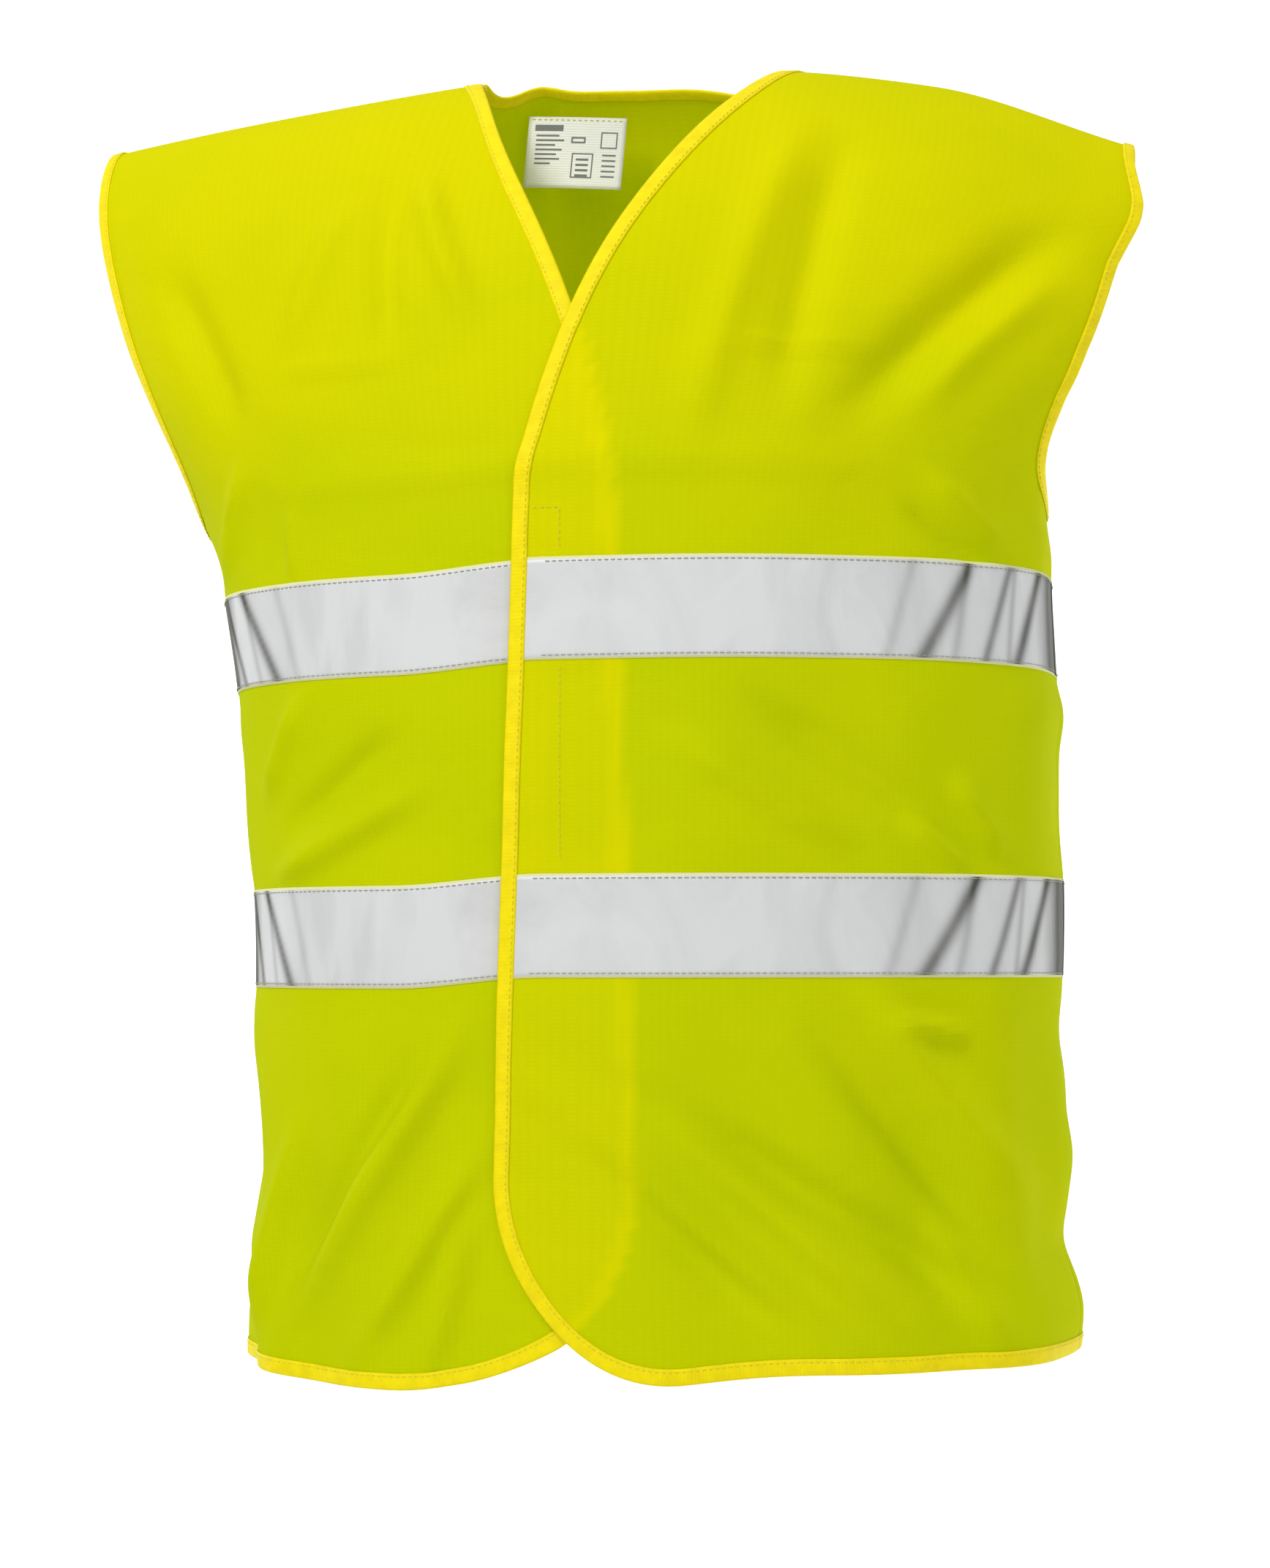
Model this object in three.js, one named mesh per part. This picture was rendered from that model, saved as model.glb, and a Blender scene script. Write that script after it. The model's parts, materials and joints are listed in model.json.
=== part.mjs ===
// High visibility vest, as it hangs from the shoulders that wear it.
// Millimetres, +Z up. The front faces -Y and the wearer's left is +X. The origin lies between the two
// neck points, at the top of the shoulders, where the vest is carried.
//
// Every piece of cloth is cut on one form: a closed surface read by an angle round the body (0 at the
// centre front, 90 at the wearer's left side, 180 at the centre back) and a level, the height above the
// hem. Above the underarm the levels close in over the shoulders and meet at the shoulder line. Sheets are
// boxes bent onto the form, and bindings are U-shaped extrusions bent along an edge.
import * as THREE from "three";

const { clamp, degToRad, lerp, smoothstep } = THREE.MathUtils;

// ---- Driving dimensions ----
const LENGTH = 655; // neck point to hem
const UNDERARM = 430; // hem to underarm
const WAIST_HALF_WIDTH = 213;
const WAIST_LEVEL = 200;
const CHEST_HALF_WIDTH = 219;
const SHOULDER_HALF_WIDTH = 295; // of the form; the armholes are cut out of it
const FRONT_DEPTH = 134; // body axis to chest
const FRONT_HEM_DEPTH = 126;
const BACK_DEPTH = 118; // body axis to shoulder blades
const BACK_HEM_DEPTH = 112;
const FULL_DEPTH_LEVEL = 300; // the hem swings in below this level
const SQUARENESS = 2.4; // exponent of the body's superellipse section; 2 is an ellipse
const LEFT_SHOULDER_DROP = 45; // neck point to shoulder tip
const RIGHT_SHOULDER_DROP = 23; // the vest hangs a little askew
const HEM_SWAY = 18; // the sides hang towards the wearer's left at the hem
const SHOULDER_SWAY = -15; // and towards the right at the shoulders
const NECK_HALF_WIDTH = 88;
const NAPE_RISE = { front: 12, back: 26 }; // the collar line stands this much over the neck points
const BACK_NECK_DROP = 10;
const ARMHOLE_CUT = 62; // round the body, from the side seam to the armhole's edge
const ARMHOLE_ROUND = 80; // height of the armhole's rounded lower end
const LEFT_ARMHOLE_TURN = 15; // its front edge hangs this much outwards, and its back edge inwards

// Front edge: each front runs past the centre, so that the two overlap.
const NECKLINE_END = 430; // level where the neckline becomes the straight front edge
const NECKLINE_END_PAST = 25; // past the centre there
const NECKLINE_BEND = { past: 3.5, level: 535.5 }; // what pulls the neckline into a curve
const OVERLAP_HALF = 36; // past the centre at the corner
const CORNER_RADIUS = 94;

// Where an opened front folds: from the neckline to the hem.
const FOLD_TOP_LEVEL = 560;
const FOLD_HEM_X = 160;
const FLAP_TOP_LEVEL = 555; // the flap's cloth ends here, where it has all but run out
const FOLD_GAP = 0.6;

// Cloth, tape, strips and binding.
const CLOTH = 0.8;
const TAPE = 0.4;
const STRIP = 1.2;
const LAYER_GAP = 0.5;
const SEAM_GAP = 0.4; // between two pieces that are sewn edge to edge
const TAPE_WIDTH = 50;
const TAPE_LEVELS = { lower: 188, upper: 341 };
const BINDING_WIDTH = 8;
const BINDING_LEAF = 0.5;
const BINDING_CLEARANCE = { straight: 0.7, curved: 1.4, armhole: 1.6 }; // binding to the cloth it holds
const EDGE_INSET = BINDING_LEAF + BINDING_CLEARANCE.straight; // cloth edge to finished edge
const MARGIN = 9; // a line of each grid follows the edge this far inside it
const HOOK_WIDTH = 16;
const LOOP_WIDTH = 25;
const LOOP_PEEP = 3.5; // the loop strip shows this much past the closed edge
const CLOSURE_BOTTOM = 243;
const CLOSURE_TOP = 417;
const SEAM_WIDTH = 9; // overlocked seam allowance
const SEAM_PLY = 1.2;
const LABEL = { width: 55, height: 40, thickness: 0.4, x: -38, tilt: 4.5, below: 18, inside: 11.5 };

const LIFT = CLOTH + TAPE + 2 * STRIP + 4 * LAYER_GAP; // left front over the closed right front
const LIFT_RAMP = { from: OVERLAP_HALF, to: OVERLAP_HALF + 110 };
const FRONT = 1;
const BACK = -1;
const LEFT = 1;
const RIGHT = -1;

// ---- The form ----
const degreesOf = (millimetres) => millimetres / 2.6; // round the body, near the sides
const rise = (level) => (level - UNDERARM) / (LENGTH - UNDERARM);

function halfWidth(level) {
  const fromWaist = Math.min(1, (level - WAIST_LEVEL) / (UNDERARM - WAIST_LEVEL));
  const body = lerp(WAIST_HALF_WIDTH, CHEST_HALF_WIDTH, fromWaist ** 2);
  const softness = 0.08; // share of the yoke over which the sides start to flare
  const flare = (Math.hypot(rise(level), softness) + rise(level)) / 2;
  return lerp(SHOULDER_HALF_WIDTH, body, (1 - Math.min(1, flare)) ** 2);
}

function depth(face, level) {
  const full = face === FRONT ? FRONT_DEPTH : BACK_DEPTH;
  if (level <= UNDERARM) {
    const hem = face === FRONT ? FRONT_HEM_DEPTH : BACK_HEM_DEPTH;
    return lerp(hem, full, Math.sin((Math.min(1, level / FULL_DEPTH_LEVEL) * Math.PI) / 2));
  }
  const fullness = face === FRONT ? 1.6 : 2; // how long the chest and the shoulder blades stay full
  return full * Math.sqrt(Math.max(0, 1 - rise(level) ** fullness));
}

function sway(level) {
  return lerp(HEM_SWAY, SHOULDER_SWAY, smoothstep(level, WAIST_LEVEL, LENGTH));
}

// How far the left armhole's edges are turned from the form, for the sine and cosine of their angle.
function armholeTurn(sine, cosine, level) {
  if (sine < 0) return 0;
  const height = smoothstep(level, UNDERARM, 500) * (1 - smoothstep(level, 590, LENGTH));
  return LEFT_ARMHOLE_TURN * height * sine * sine * clamp(cosine / 0.35, -1, 1);
}

// Height of the shoulder line above the hem.
function shoulderLine(x, face) {
  const out = Math.abs(x) - NECK_HALF_WIDTH;
  const nape = face === FRONT ? NAPE_RISE.front : NAPE_RISE.back;
  if (out < 0) return LENGTH + nape * (1 - (x / NECK_HALF_WIDTH) ** 2) ** 2;
  const drop = x > 0 ? LEFT_SHOULDER_DROP : RIGHT_SHOULDER_DROP;
  return LENGTH - drop * (out / (SHOULDER_HALF_WIDTH - NECK_HALF_WIDTH)) ** 1.3;
}

// A point of the form. A level past the shoulder line comes down on the other side.
function formPoint(angle, level) {
  if (level > LENGTH) return formPoint(180 - angle, 2 * LENGTH - level);
  const sine = Math.sin(degToRad(angle));
  const cosine = Math.cos(degToRad(angle));
  const power = 2 / SQUARENESS;
  const face = cosine > 0 ? FRONT : BACK;
  const reach = halfWidth(level) * Math.sign(sine) * Math.abs(sine) ** power;
  const x = reach + sway(level) * sine * sine + armholeTurn(sine, cosine, level);
  const y = -depth(face, level) * Math.sign(cosine) * Math.abs(cosine) ** power;
  const height = level > UNDERARM ? lerp(UNDERARM, shoulderLine(x, face), rise(level)) : level;
  return new THREE.Vector3(x, y, height - LENGTH);
}

// The form's outward normal.
function formNormal(angle, level) {
  const step = { angle: 0.5, level: 0.5 };
  const round = formPoint(angle + step.angle, level).sub(formPoint(angle - step.angle, level));
  const up = formPoint(angle, level + step.level).sub(formPoint(angle, level - step.level));
  return round.cross(up).normalize();
}

// The angle at which the front of the form stands at x.
function frontAngle(x, level) {
  const solve = (sine) => {
    const reach = (x - sway(level) * sine * sine) / halfWidth(level);
    return Math.sign(reach) * Math.min(1, Math.abs(reach)) ** (SQUARENESS / 2);
  };
  const sine = solve(solve(solve(0)));
  return THREE.MathUtils.radToDeg(Math.asin(sine));
}

// ---- Edges of the cloth, for the left side; the right side is their mirror ----

// x of the front's finished edge, or of a line that runs `inset` inside it.
function frontEdge(level, inset = 0) {
  if (level < CORNER_RADIUS) {
    const radius = CORNER_RADIUS - inset;
    const below = Math.min(radius, CORNER_RADIUS - level);
    return CORNER_RADIUS - OVERLAP_HALF - Math.sqrt(radius ** 2 - below ** 2);
  }
  if (level < NECKLINE_END) {
    const up = (level - CORNER_RADIUS) / (NECKLINE_END - CORNER_RADIUS);
    return lerp(-OVERLAP_HALF, -NECKLINE_END_PAST, up) + inset;
  }
  const from = { x: -NECKLINE_END_PAST, level: NECKLINE_END };
  const bend = { x: -NECKLINE_BEND.past, level: NECKLINE_BEND.level };
  const to = { x: NECK_HALF_WIDTH, level: LENGTH };
  const a = from.level - 2 * bend.level + to.level;
  const b = 2 * (bend.level - from.level);
  const t = (-b + Math.sqrt(b * b + 4 * a * (level - from.level))) / (2 * a);
  const x = from.x * (1 - t) ** 2 + 2 * bend.x * t * (1 - t) + to.x * t ** 2;
  const slope = (2 * (bend.x - from.x) * (1 - t) + 2 * (to.x - bend.x) * t) / (b + 2 * a * t);
  return x + inset * Math.hypot(1, slope);
}

// x of the line along which an opened front folds.
function foldLine(level) {
  return lerp(FOLD_HEM_X, frontEdge(FOLD_TOP_LEVEL), level / FOLD_TOP_LEVEL);
}

// The armhole's lower end is half an ellipse; above it, the armhole is cut in evenly.
const ARMHOLE_CENTRE = UNDERARM + ARMHOLE_ROUND;

// Degrees from the centre front, or the centre back, to the armhole, which runs into the side seam below.
function sideLimit(level, inset = 0) {
  const below = Math.max(0, (ARMHOLE_CENTRE - level) / (ARMHOLE_ROUND + inset));
  return below < 1 ? 90 - degreesOf(ARMHOLE_CUT + inset) * Math.sqrt(1 - below ** 2) : 90;
}

// A place on the armhole's finished edge, or on a line that runs `inset` inside it, beside the edge's
// `level`.
function armholePlace(level, inset) {
  const cosine = Math.max(0, (ARMHOLE_CENTRE - level) / ARMHOLE_ROUND);
  const angle = 90 - degreesOf(ARMHOLE_CUT + inset) * Math.sqrt(1 - cosine ** 2);
  return { angle, level: level - inset * cosine };
}

// A place on the back neckline, or on a line that runs `inset` inside it: `turn` goes from 0 at the left
// neck point to 180 at the right one.
function napePlace(turn, inset = 0) {
  const x = (NECK_HALF_WIDTH + inset) * Math.cos(degToRad(turn));
  const drop = (BACK_NECK_DROP + inset * 0.45) * Math.sin(degToRad(turn));
  return { angle: 180 - frontAngle(x, LENGTH), level: LENGTH - drop };
}

// How far the left front stands off the form, so that it closes over the right one.
function lift(side, x, level) {
  if (side !== LEFT) return 0;
  const sideways = 1 - smoothstep(x, LIFT_RAMP.from, LIFT_RAMP.to);
  const upwards = 1 - smoothstep(level, FOLD_TOP_LEVEL - 30, LENGTH - 40);
  return LIFT * sideways * upwards;
}

// ---- Making a piece ----

// A place on one front: x is measured from the centre towards that side.
function onFront(side, x, level) {
  const angle = Math.sign(x) * Math.abs(frontAngle(side * x, level));
  return { angle: side * angle, level, lift: lift(side, x, level) };
}

function place({ angle, level, lift: raised = 0 }, offset) {
  return formPoint(angle, level).addScaledVector(formNormal(angle, level), raised + offset);
}

// Moves each vertex of a geometry to where `where` says.
function bend(geometry, where) {
  const position = geometry.getAttribute("position");
  for (let i = 0; i < position.count; i++) {
    const moved = where(position.getX(i), position.getY(i), position.getZ(i));
    position.setXYZ(i, moved.x, moved.y, moved.z);
  }
  geometry.deleteAttribute("uv");
  geometry.computeVertexNormals();
  return geometry;
}

// Splits the squares of a box's back face along the same diagonal as those of its front face, so that a
// sheet keeps its thickness where a square is twisted.
function matchDiagonals(box) {
  const back = box.groups[5];
  for (let i = back.start; i < back.start + back.count; i += 6) {
    const [a, b, c, d] = [0, 1, 4, 2].map((k) => box.index.getX(i + k));
    [a, b, c, a, c, d].forEach((corner, k) => box.index.setX(i + k, corner));
  }
}

// A sheet of cloth, tape or strip. `at(i, level)` is the place of grid line i on the form.
function sheet(columns, levels, inner, thickness, at) {
  const rows = levels.length - 1;
  const box = new THREE.BoxGeometry(1, 1, 1, columns, rows, 1);
  matchDiagonals(box);
  return bend(box, (x, y, z) => {
    const spot = at(Math.round((x + 0.5) * columns), levels[Math.round((y + 0.5) * rows)]);
    return place(spot, inner + (z > 0 ? thickness : 0));
  });
}

// Grid lines over a panel: one at each edge, one at each margin, the others evenly between.
function gridLines(count, edge, margin, farMargin, farEdge) {
  const between = Array.from({ length: count - 1 }, (_, i) => lerp(margin, farMargin, i / (count - 2)));
  return [edge, ...between, farEdge];
}

// Makes `along` and the square axes of a binding at each station of its path.
function bindingFrames(path) {
  const points = path.map((station) => place(station.edge, 0));
  return path.map((station, i) => {
    const next = points[Math.min(points.length - 1, i + 1)];
    const along = next.clone().sub(points[Math.max(0, i - 1)]).normalize();
    const out = along.clone().cross(place(station.inner, 0).sub(points[i])).normalize();
    return { point: points[i], along, out, inward: out.clone().cross(along) };
  });
}

// How far a binding's end is slid along it, for each millimetre inwards, to end along the fold.
function mitre({ along, inward }, side) {
  const fold = new THREE.Vector2(side * (foldLine(1) - foldLine(0)), 1);
  const flat = (v) => new THREE.Vector2(v.x, v.z);
  return -flat(inward).cross(fold) / flat(along).cross(fold);
}

// A binding: a U of two leaves folded over the edge that the path follows. Seen from outside, the cloth is
// on the path's left. `folds` says at which side's fold the path starts and ends, if at any.
function binding(path, clearance, folds = {}) {
  const low = -clearance;
  const high = CLOTH + clearance;
  const section = new THREE.Shape(
    [
      [0, low - BINDING_LEAF],
      [BINDING_WIDTH, low - BINDING_LEAF],
      [BINDING_WIDTH, low],
      [BINDING_LEAF, low],
      [BINDING_LEAF, high],
      [BINDING_WIDTH, high],
      [BINDING_WIDTH, high + BINDING_LEAF],
      [0, high + BINDING_LEAF],
    ].map(([x, y]) => new THREE.Vector2(x, y)),
  );
  const last = path.length - 1;
  const frames = bindingFrames(path);
  const slide = frames.map(() => 0);
  if (folds.start) slide[0] = mitre(frames[0], folds.start);
  if (folds.end) slide[last] = mitre(frames[last], folds.end);
  const strip = new THREE.ExtrudeGeometry(section, { depth: last, steps: last, bevelEnabled: false });
  return bend(strip, (x, y, z) => {
    const { point, along, out, inward } = frames[Math.round(z)];
    const slid = point.clone().addScaledVector(along, x * slide[Math.round(z)]);
    return slid.addScaledVector(inward, x).addScaledVector(out, y);
  });
}

const vest = new THREE.Group();
const FINISHES = {
  cloth: { color: 0xcbd900, roughness: 0.8 },
  binding: { color: 0xf4e900, roughness: 0.6 },
  tape: { color: 0xd6d7d9, roughness: 0.35, metalness: 0.2 },
  strip: { color: 0xdde000, roughness: 0.9 },
  thread: { color: 0xe8e400, roughness: 0.7 },
  label: { color: 0xe6e6e2, roughness: 0.5 },
};

function add(name, finish, geometry) {
  const mesh = new THREE.Mesh(geometry, new THREE.MeshStandardMaterial(FINISHES[finish]));
  mesh.name = name;
  vest.add(mesh);
  return mesh;
}

const sideName = (side) => (side === LEFT ? "left" : "right");

// ---- Levels of the grids ----
const CORNER_LEVELS = [1.5, 5, 12, 23, 38, 56, 75, CORNER_RADIUS, 140];
const BODY_LEVELS = [TAPE_LEVELS.lower, TAPE_LEVELS.lower + TAPE_WIDTH, 290];
BODY_LEVELS.push(TAPE_LEVELS.upper, TAPE_LEVELS.upper + TAPE_WIDTH, UNDERARM - EDGE_INSET);
// Levels above the underarm lie closer together towards the shoulder line, where the form turns over.
const YOKE_SHARES = [0.01, 0.035, 0.07, 0.12, 0.22, 0.33, 0.45, 0.56, 0.68, 0.79, 0.88, 0.94, 0.975, 0.995];
const YOKE_LEVELS = YOKE_SHARES.map((share) => lerp(UNDERARM, LENGTH, share));
const SIDE_LEVELS = [EDGE_INSET, MARGIN, CORNER_RADIUS, ...BODY_LEVELS, ...YOKE_LEVELS];

// ---- Panels ----
const SIDE_COLUMNS = 8;
const FLAP_COLUMNS = 9;

// Where the cloth ends at the side seam or the armhole, and the line beside its edge.
const sideEdge = (level) => Math.min(90 - degreesOf(SEAM_GAP / 2), sideLimit(level, EDGE_INSET));
const sideMargin = (level) => Math.min(90 - degreesOf(MARGIN), sideLimit(level, MARGIN));

// Angles of the fixed front's grid lines, from the neckline or the fold to the side.
function sideAngles(side, level) {
  const fromFold = (inset, gap) => Math.max(frontEdge(level, inset), foldLine(level) + gap);
  const front = (x) => onFront(side, x, level).angle;
  const near = [front(fromFold(EDGE_INSET, FOLD_GAP / 2)), front(fromFold(MARGIN, MARGIN))];
  return gridLines(SIDE_COLUMNS, ...near, side * sideMargin(level), side * sideEdge(level));
}

// A point of the fixed front, which takes up the lift of the front that it belongs to.
function sidePlace(side, angle, level) {
  return { angle, level, lift: lift(side, side * formPoint(angle, level).x, level) };
}

function addFrontSide(side) {
  const geometry = sheet(SIDE_COLUMNS, [...SIDE_LEVELS, LENGTH - SEAM_GAP / 2], 0, CLOTH, (i, level) => {
    const column = side === LEFT ? i : SIDE_COLUMNS - i;
    return sidePlace(side, sideAngles(side, level)[column], level);
  });
  add(`${sideName(side)}_front_side`, "cloth", geometry);
}

// x of the flap's grid lines, from the front edge to the fold.
function flapLines(level) {
  const edge = frontEdge(level, EDGE_INSET);
  const fold = foldLine(level) - FOLD_GAP / 2;
  const margin = Math.min(MARGIN, (fold - edge) / FLAP_COLUMNS);
  return gridLines(FLAP_COLUMNS, edge, edge + margin, fold - margin, fold);
}

function addFrontFlap(side) {
  const yoke = YOKE_LEVELS.filter((level) => level < FLAP_TOP_LEVEL - 5);
  const levels = [EDGE_INSET, ...CORNER_LEVELS, ...BODY_LEVELS, ...yoke, FLAP_TOP_LEVEL];
  const geometry = sheet(FLAP_COLUMNS, levels, 0, CLOTH, (i, level) =>
    onFront(side, flapLines(level)[side === LEFT ? i : FLAP_COLUMNS - i], level),
  );
  add(`${sideName(side)}_front_flap`, "cloth", geometry);
}

// Grid lines of the back within the neck, as turns along the back neckline.
const NAPE_TURNS = [0, 8, 20, 36, 54, 72, 90, 108, 126, 144, 160, 172, 180];
const SHOULDER_LINES = 7;

// Angles and top levels of the back's grid lines, from the left side to the right one.
function backLines(level) {
  const edge = 180 - sideEdge(level);
  const margin = 180 - sideMargin(level);
  const nape = NAPE_TURNS.map((turn) => napePlace(turn, EDGE_INSET));
  const inner = lerp(margin, nape[0].angle, 0.83);
  const left = gridLines(SHOULDER_LINES, edge, margin, inner, 0).slice(0, -1);
  const shoulder = left.map((angle) => ({ angle, top: LENGTH - SEAM_GAP / 2 }));
  const neck = nape.map((spot) => ({ angle: spot.angle, top: spot.level - SEAM_GAP / 2 }));
  const right = shoulder.map(({ angle, top }) => ({ angle: 360 - angle, top })).reverse();
  return [...shoulder, ...neck, ...right];
}

function addBackPanel() {
  const columns = backLines(0).length - 1;
  const geometry = sheet(columns, [...SIDE_LEVELS, LENGTH], 0, CLOTH, (i, row) => {
    const { angle, top } = backLines(row)[i];
    return { angle, level: row > UNDERARM ? lerp(UNDERARM, top, rise(row)) : row };
  });
  add("back_panel", "cloth", geometry);
}

// ---- Reflective tape ----
const TAPE_OFFSET = CLOTH + LAYER_GAP;

function addTapes(band, bottom) {
  const levels = [bottom, bottom + TAPE_WIDTH];
  for (const side of [LEFT, RIGHT]) {
    const onSide = sheet(SIDE_COLUMNS, levels, TAPE_OFFSET, TAPE, (i, level) =>
      sidePlace(side, sideAngles(side, level)[side === LEFT ? i : SIDE_COLUMNS - i], level),
    );
    // The tape starts beside the binding, just outside the cloth's first margin line.
    const onFlap = sheet(FLAP_COLUMNS - 1, levels, TAPE_OFFSET, TAPE, (i, level) => {
      const lines = flapLines(level).slice(1);
      lines[0] = frontEdge(level) + BINDING_WIDTH + LAYER_GAP;
      return onFront(side, lines[side === LEFT ? i : FLAP_COLUMNS - 1 - i], level);
    });
    add(`${band}_tape_${sideName(side)}_side`, "tape", onSide);
    add(`${band}_tape_${sideName(side)}_flap`, "tape", onFlap);
  }
  const columns = backLines(0).length - 1;
  const at = (i, level) => ({ angle: backLines(level)[i].angle, level });
  add(`${band}_tape_back`, "tape", sheet(columns, levels, TAPE_OFFSET, TAPE, at));
}

// ---- Closure ----
function addClosure() {
  const levels = [CLOSURE_BOTTOM, 290, TAPE_LEVELS.upper, TAPE_LEVELS.upper + TAPE_WIDTH, CLOSURE_TOP];
  const hookFrom = frontEdge(CLOSURE_TOP) + BINDING_WIDTH + LAYER_GAP;
  const hook = sheet(3, levels, -LAYER_GAP - STRIP, STRIP, (i, level) =>
    onFront(LEFT, hookFrom + (i / 3) * HOOK_WIDTH, level),
  );
  add("hook_strip", "strip", hook);
  const loopTo = LOOP_PEEP - frontEdge(CLOSURE_TOP);
  const loop = sheet(3, levels, TAPE_OFFSET + TAPE + LAYER_GAP, STRIP, (i, level) =>
    onFront(RIGHT, loopTo - (i / 3) * LOOP_WIDTH, level),
  );
  add("loop_strip", "strip", loop);
}

// ---- Bindings: the stations of their paths ----

// A station of the front edge or the rounded corner.
function edgeStation(side, level) {
  const x = frontEdge(level);
  const edge = onFront(side, x, level);
  if (level >= CORNER_RADIUS) return { edge, inner: onFront(side, frontEdge(level, MARGIN), level) };
  const towards = MARGIN / CORNER_RADIUS;
  const inX = lerp(x, CORNER_RADIUS - OVERLAP_HALF, towards);
  return { edge, inner: onFront(side, inX, lerp(level, CORNER_RADIUS, towards)) };
}

// A station of the hem, at a place that stands on level 0.
function hemStation(edge) {
  return { edge, inner: { ...edge, level: MARGIN } };
}

const aboveFlap = YOKE_LEVELS.filter((level) => level > FOLD_TOP_LEVEL + 5);

function addNeckBinding() {
  const frontHalf = (side) => [FOLD_TOP_LEVEL + 1, ...aboveFlap].map((level) => edgeStation(side, level));
  const nape = NAPE_TURNS.map((turn) => ({ edge: napePlace(turn), inner: napePlace(turn, MARGIN) }));
  const path = [...frontHalf(RIGHT), ...nape.reverse(), ...frontHalf(LEFT).reverse()];
  add("neck_binding", "binding", binding(path, BINDING_CLEARANCE.curved, { start: RIGHT, end: LEFT }));
}

function addFrontBinding(side) {
  const yoke = YOKE_LEVELS.filter((level) => level < FLAP_TOP_LEVEL - 15);
  const levels = [0, ...CORNER_LEVELS, ...BODY_LEVELS, ...yoke, FOLD_TOP_LEVEL - 1];
  const corner = frontEdge(0);
  const hem = [0, 1, 2, 3, 4, 5].map((step) => {
    const x = lerp(foldLine(0) - FOLD_GAP / 2, corner, step / 6);
    return hemStation(onFront(side, x, 0));
  });
  const path = [...hem, ...levels.map((level) => edgeStation(side, level))];
  if (side === LEFT) path.reverse();
  const strip = binding(path, BINDING_CLEARANCE.straight, { start: side, end: side });
  add(`${sideName(side)}_front_binding`, "binding", strip);
}

function addHemBinding() {
  const atHem = (angle) => hemStation({ angle, level: 0 });
  const front = (side) => {
    const angles = sideAngles(side, 0).slice(0, -1);
    return angles.map((angle) => hemStation(sidePlace(side, angle, 0)));
  };
  const back = backLines(0).slice(1, -1).map(({ angle }) => atHem(angle));
  const path = [...front(LEFT), atHem(90), ...back, atHem(270), ...front(RIGHT).reverse()];
  add("hem_binding", "binding", binding(path, BINDING_CLEARANCE.straight, { start: LEFT, end: RIGHT }));
}

function addArmholeBinding(side) {
  const levels = [...YOKE_LEVELS, LENGTH];
  const station = (level, turned) => {
    const at = (inset) => {
      const spot = armholePlace(level, inset);
      return { angle: side * (turned ? 180 - spot.angle : spot.angle), level: spot.level };
    };
    return { edge: at(0), inner: at(MARGIN) };
  };
  const underarm = (turned) => {
    const angle = side * (90 + (turned ? 0.1 : -0.1));
    return { edge: { angle, level: UNDERARM }, inner: { angle, level: UNDERARM - MARGIN } };
  };
  const front = levels.map((level) => station(level, false));
  const back = levels.slice(0, -1).map((level) => station(level, true));
  const path = [underarm(false), ...front, ...back.reverse(), underarm(true)];
  if (side === RIGHT) path.reverse();
  add(`${sideName(side)}_armhole_binding`, "binding", binding(path, BINDING_CLEARANCE.armhole));
}

// ---- Seam allowances, inside the cloth ----
const SEAM_OFFSET = -SEAM_PLY - 2 * LAYER_GAP;

function addSideSeam(side) {
  const levels = [BINDING_WIDTH + 4, CORNER_RADIUS, ...BODY_LEVELS.slice(0, -1), UNDERARM - 10];
  const half = degreesOf(SEAM_WIDTH / 2);
  const at = (i, level) => ({ angle: side * 90 + (i - 1) * half, level });
  add(`${sideName(side)}_side_seam`, "thread", sheet(2, levels, SEAM_OFFSET, SEAM_PLY, at));
}

function addShoulderSeam(side) {
  const from = frontAngle(NECK_HALF_WIDTH + BINDING_WIDTH + 3, LENGTH);
  const to = sideLimit(LENGTH) - 5;
  const levels = [-0.35, 0, 0.35].map((t) => LENGTH + t);
  const along = (share) => (side === LEFT ? lerp(from, to, share) : -lerp(to, from, share));
  const at = (i, level) => ({ angle: along(i / 8), level });
  add(`${sideName(side)}_shoulder_seam`, "thread", sheet(8, levels, SEAM_OFFSET, SEAM_PLY, at));
}

// ---- Care label, hanging from its top edge behind the neck ----
function addLabel() {
  const turn = THREE.MathUtils.radToDeg(Math.acos(LABEL.x / (NECK_HALF_WIDTH + LABEL.below)));
  const top = place(napePlace(turn, LABEL.below), -LABEL.inside);
  const geometry = new THREE.BoxGeometry(LABEL.width, LABEL.thickness, LABEL.height);
  geometry.translate(0, 0, -LABEL.height / 2);
  const label = add("care_label", "label", geometry);
  label.position.copy(top);
  label.rotation.y = degToRad(LABEL.tilt);
}

addBackPanel();
addNeckBinding();
addHemBinding();
for (const side of [LEFT, RIGHT]) {
  addFrontSide(side);
  addFrontFlap(side);
  addFrontBinding(side);
  addArmholeBinding(side);
  addSideSeam(side);
  addShoulderSeam(side);
}
for (const [band, bottom] of Object.entries(TAPE_LEVELS)) addTapes(band, bottom);
addClosure();
addLabel();

export default vest;
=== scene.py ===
"""High visibility vest: knitted cloth, edge bindings, reflective tape, closure and care label."""

import json
import math

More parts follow.
